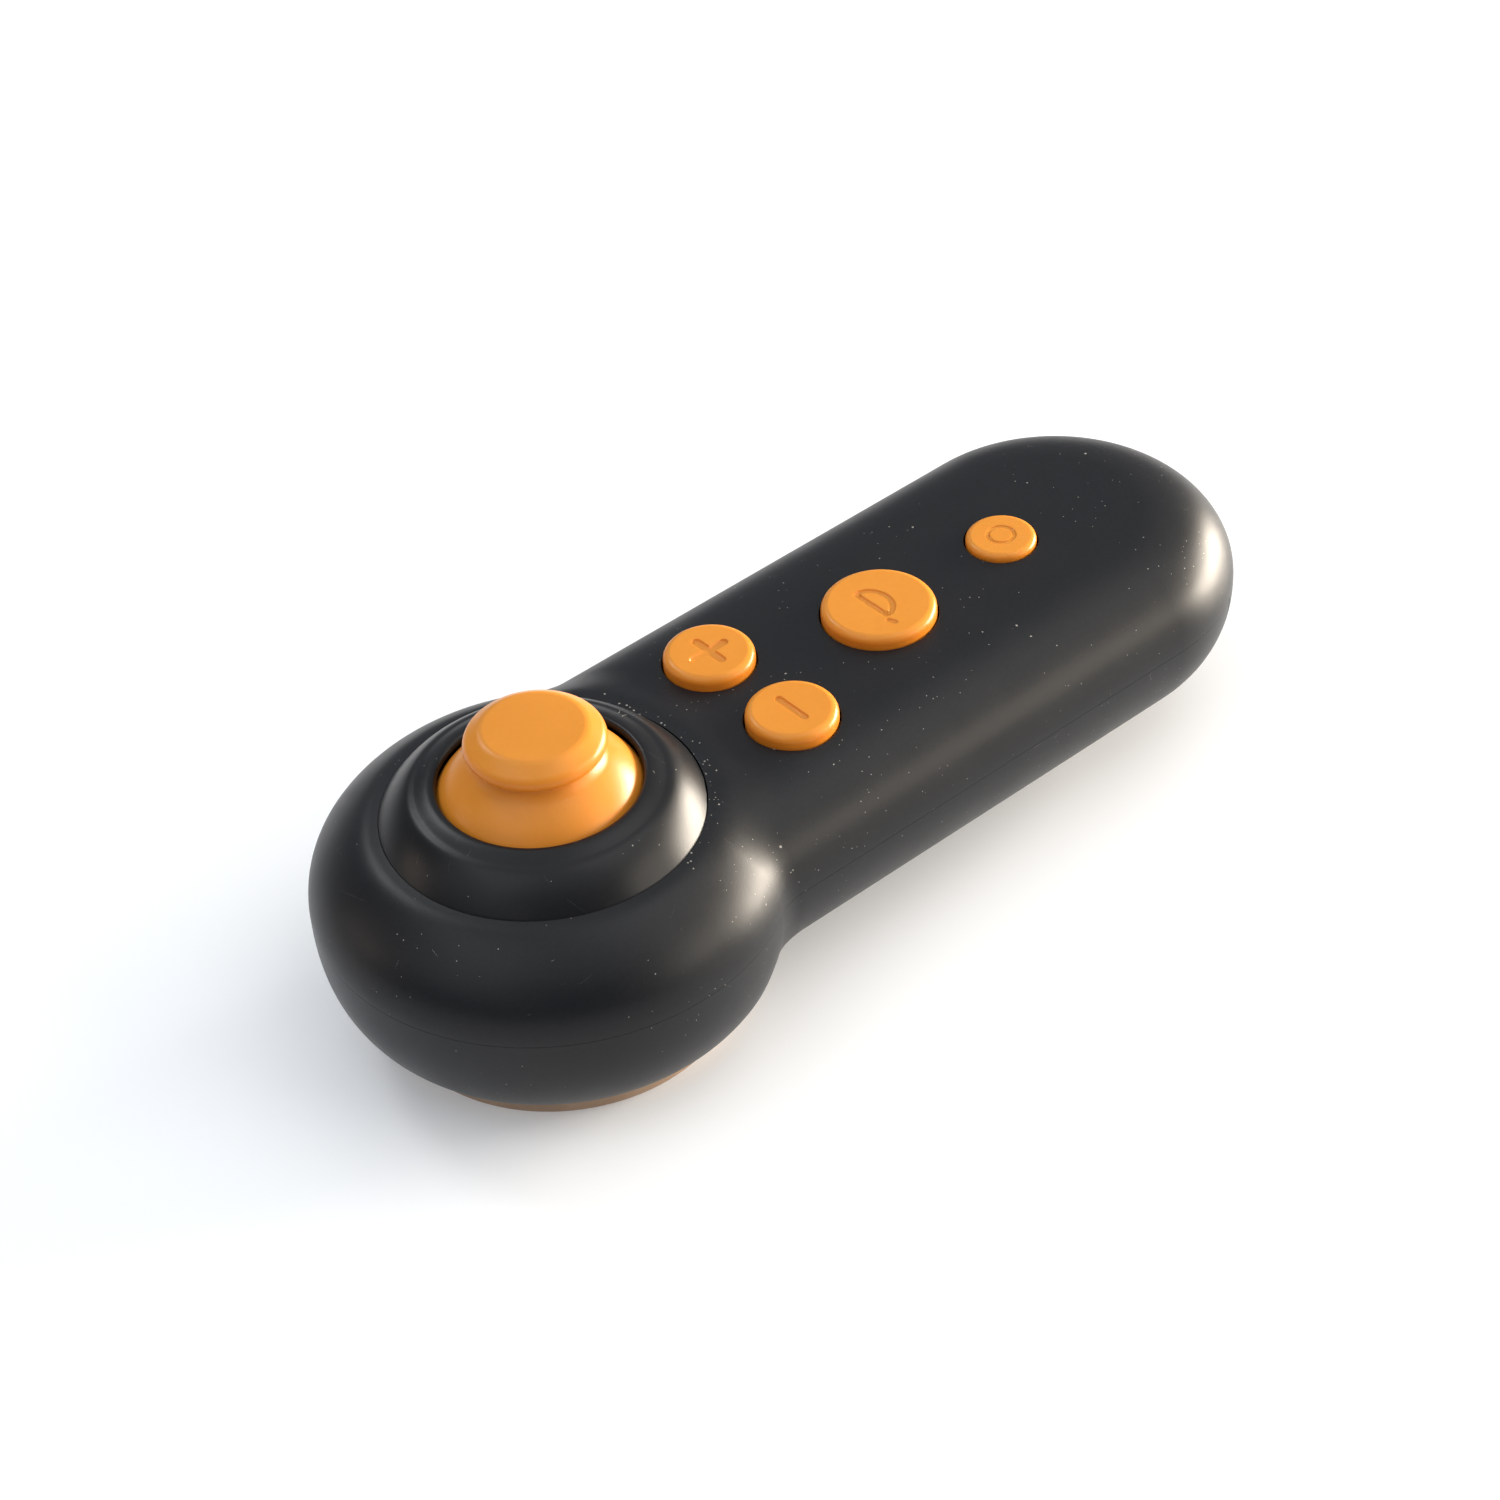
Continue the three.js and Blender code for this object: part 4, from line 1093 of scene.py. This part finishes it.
for number in (1, 2):
    cell, plate, spring = (f"{kind}_{number}" for kind in ("battery_cell", "cell_plate", "cell_spring"))
    can, sleeve = cell_parts(cell, number == 1)
    piece(can, f"{cell}_can", "housing", "steel", cell)
    piece(sleeve, f"{cell}_sleeve", "housing", "cell", cell)
    piece(cell_plate(plate), f"{plate}_pressed", "housing", "brass", plate)
    piece(coil(spring, 4, SPRING_WIRE, 0), f"{spring}_coil", "housing", "steel", spring)
centring = coil("centring_spring", 5, SPRING_WIRE, 2)
piece(centring, "centring_spring_coil", "housing", "steel", "centring_spring")


# ---- parts on the board ----
LEG_ROOM = 0.5  # how far a chip's body stands back from its legs' feet


def with_legs(node, per_side, pitch, sides):
    """A moulded chip with bevelled edges, a dot at its first leg, and rows of bent legs."""
    *centre, low, high = centre_of(node)
    bevel, lift = 0.12, 0.1
    body = slab(low, high, low[2] + lift, high[2], LEG_ROOM, bevel)
    cut(body, rod(0.3, low[0] + 1.3, low[1] + 1.3, high[2] - 0.08, high[2] + 1))
    legs = []
    half, thick = 0.12, 0.12
    mid = (low[2] + high[2]) / 2 - 0.1
    for side in sides:
        for k in range(per_side):
            offset = (k - (per_side - 1) / 2) * pitch
            edge = 0.5 * (high[side] - low[side])
            for sign in (-1, 1):
                near, far = sign * (edge - 0.6), sign * (edge - 0.25)
                foot = sign * edge
                spans = ((near, far, mid, mid + thick), (far - sign * thick, far, low[2], mid + thick),
                         (far - sign * thick, foot, low[2], low[2] + thick))
                for u0, u1, z0, z1 in spans:
                    out = (centre[side] + min(u0, u1), centre[side] + max(u0, u1))
                    wide = (centre[1 - side] + offset - half, centre[1 - side] + offset + half)
                    legs.append((*out, *wide, z0, z1) if side == 0 else (*wide, *out, z0, z1))
    frame_of_legs = block(*legs[0])
    boolean(frame_of_legs, "UNION", *[block(*leg) for leg in legs[1:]])
    return finish_mesh(body), finish_mesh(frame_of_legs)


def shield_can(node):
    """A folded metal lid with bevelled edges and a row of small round holes."""
    x, y, low, high = centre_of(node)
    lid = slab(low, high, low[2], high[2], bevel=0.3)
    for i in range(-1, 2):
        for j in range(-2, 3):
            cut(lid, rod(0.35, x + 2 * i, y + 2 * j, high[2] - 0.2, high[2] + 1, 20))
    return finish_mesh(lid)


def crystal_can(node):
    """A flat metal can with rounded ends and a rim round its foot."""
    low, high = box_mm(node)
    foot = slab(low, high, low[2], low[2] + 0.3, bevel=0.1)
    return finish_mesh(boolean(foot, "UNION", slab(low, high, low[2] + 0.1, high[2], 0.25, 0.35)))


def capacitor_can(node):
    """A crimped can with a rolled top edge and a cross pressed into the top."""
    x, y, low, high = centre_of(node)
    r, z0, z1 = high[0] - x, low[2], high[2]
    can = lathe(node, filleted([
        (0, z0, 0), (r, z0, 0.2), (r, z0 + 0.6, 0.1), (r - 0.2, z0 + 0.85, 0.1),
        (r, z0 + 1.1, 0.1), (r, z1, 0.35), (r - 0.5, z1, 0.05), (r - 0.6, z1 - 0.12, 0.05),
        (0, z1 - 0.12, 0),
    ]), x, y, 48)
    arm, half, deep = 1.0, 0.07, 0.25
    cut_cross(can, x, y, arm, half, z1 - deep, z1 + 1)
    return finish_mesh(can)


for node, per_side, pitch, sides in (("controller_chip", 8, 0.65, (0, 1)), ("voltage_chip", 3, 0.8, (0,))):
    body, legs = with_legs(node, per_side, pitch, sides)
    piece(body, f"{node}_body", "housing", "chip", node)
    piece(legs, f"{node}_legs", "housing", "steel", node)
piece(shield_can("radio_module"), "radio_module_lid", "housing", "steel", "radio_module")
piece(crystal_can("crystal"), "crystal_can", "housing", "steel", "crystal")
piece(capacitor_can("capacitor"), "capacitor_can", "housing", "cell", "capacitor")

# ---- camera, lights, floor ----
VIEW_AZIMUTH = 0.6902
VIEW_ELEVATION = 0.7073
VIEW_ROLL = -0.057
VIEW_DISTANCE = 461.711
VIEW_TARGET = (-5.2045, -8.7495, 23.1312)
FOCAL_LENGTH = 90.85
SHIFT_X = -0.04


def add_camera():
    ce, se = math.cos(VIEW_ELEVATION), math.sin(VIEW_ELEVATION)
    forward = Vector((math.sin(VIEW_AZIMUTH) * ce, math.cos(VIEW_AZIMUTH) * ce, -se))
    level = forward.cross(Vector((0, 0, 1))).normalized()
    upright = level.cross(forward)
    right = math.cos(VIEW_ROLL) * level + math.sin(VIEW_ROLL) * upright
    up = -math.sin(VIEW_ROLL) * level + math.cos(VIEW_ROLL) * upright
    place = (Vector(VIEW_TARGET) - forward * VIEW_DISTANCE) * MM
    data = bpy.data.cameras.new("camera")
    data.lens = FOCAL_LENGTH
    data.sensor_width = 36.0
    data.shift_x = SHIFT_X
    data.clip_start = 0.01
    camera = link("camera", data)
    turn = Matrix((right, up, -forward)).transposed().to_4x4()
    camera.matrix_world = Matrix.Translation(place) @ turn
    bpy.context.scene.camera = camera


# name, azimuth from +X and elevation in degrees, distance and size in metres, radiance, colour
SOFTBOXES = [
    ("ceiling", -129, 84, 1.0, (1.7, 1.7), 0.8, (0.95, 0.98, 1.0)),
    ("overhead", -40, 58, 1.0, (0.8, 0.8), 1.0, (1.0, 0.99, 0.97)),
    ("left", 175, 46, 1.0, (0.8, 0.8), 0.75, (0.94, 0.97, 1.0)),
    ("back", 98, 45, 0.9, (0.22, 0.3), 7.0, (0.95, 0.98, 1.0)),
    ("far", 48, 38, 1.0, (1.2, 0.8), 0.3, (0.94, 0.97, 1.0)),
    ("window", -14, 8, 0.9, (0.62, 0.22), 58.0, (1.0, 0.89, 0.75)),
    ("window_edge", -60, 21, 0.9, (0.45, 0.45), 4.0, (1.0, 0.91, 0.79)),
    ("lamp_front", -149, 28, 0.9, (0.04, 0.04), 15.0, (1.0, 0.97, 0.93)),
    ("lamp_right", -92, 20, 0.9, (0.04, 0.04), 15.0, (1.0, 0.97, 0.93)),
    ("warm_spot", 140, 15, 0.9, (0.3, 0.2), 2.4, (1.0, 0.78, 0.62)),
]


def softbox(name, place, target, size, power, colour):
    data = bpy.data.lights.new(name, "AREA")
    data.shape = "RECTANGLE"
    data.size, data.size_y = size
    data.energy = power
    data.color = colour
    light = link(name, data)
    light.location = place
    light.rotation_euler = (Vector(target) - Vector(place)).to_track_quat("-Z", "Y").to_euler()


def add_studio():
    world = bpy.data.worlds.new("studio")
    bpy.context.scene.world = world
    world.use_nodes = True
    background = world.node_tree.nodes["Background"]
    background.inputs["Color"].default_value = (0.88, 0.94, 1.05, 1.0)
    background.inputs["Strength"].default_value = 0.22
    for name, azimuth, elevation, distance, size, radiance, colour in SOFTBOXES:
        a, e = math.radians(azimuth), math.radians(elevation)
        place = distance * Vector((math.cos(e) * math.cos(a), math.cos(e) * math.sin(a), math.sin(e)))
        softbox(name, place, (0, 0, 0), size, radiance * math.pi * size[0] * size[1], colour)
    bpy.ops.mesh.primitive_plane_add(size=8.0)
    floor = bpy.context.object
    floor.name = "floor"
    floor.data.materials.append(floor_paper())
    view = bpy.context.scene.view_settings
    view.view_transform = "Standard"
    view.look = "None"


add_camera()
add_studio()

# ---- CAD nodes that stay ----
SLOT_OF = {part["node"]: part["material_slot"] for part in frame["record"]["subparts"]}
for name, node in frame["nodes"].items():
    if not node.hide_render:
        for slot in node.material_slots:
            slot.material = FINISHES[SLOT_OF[name]]
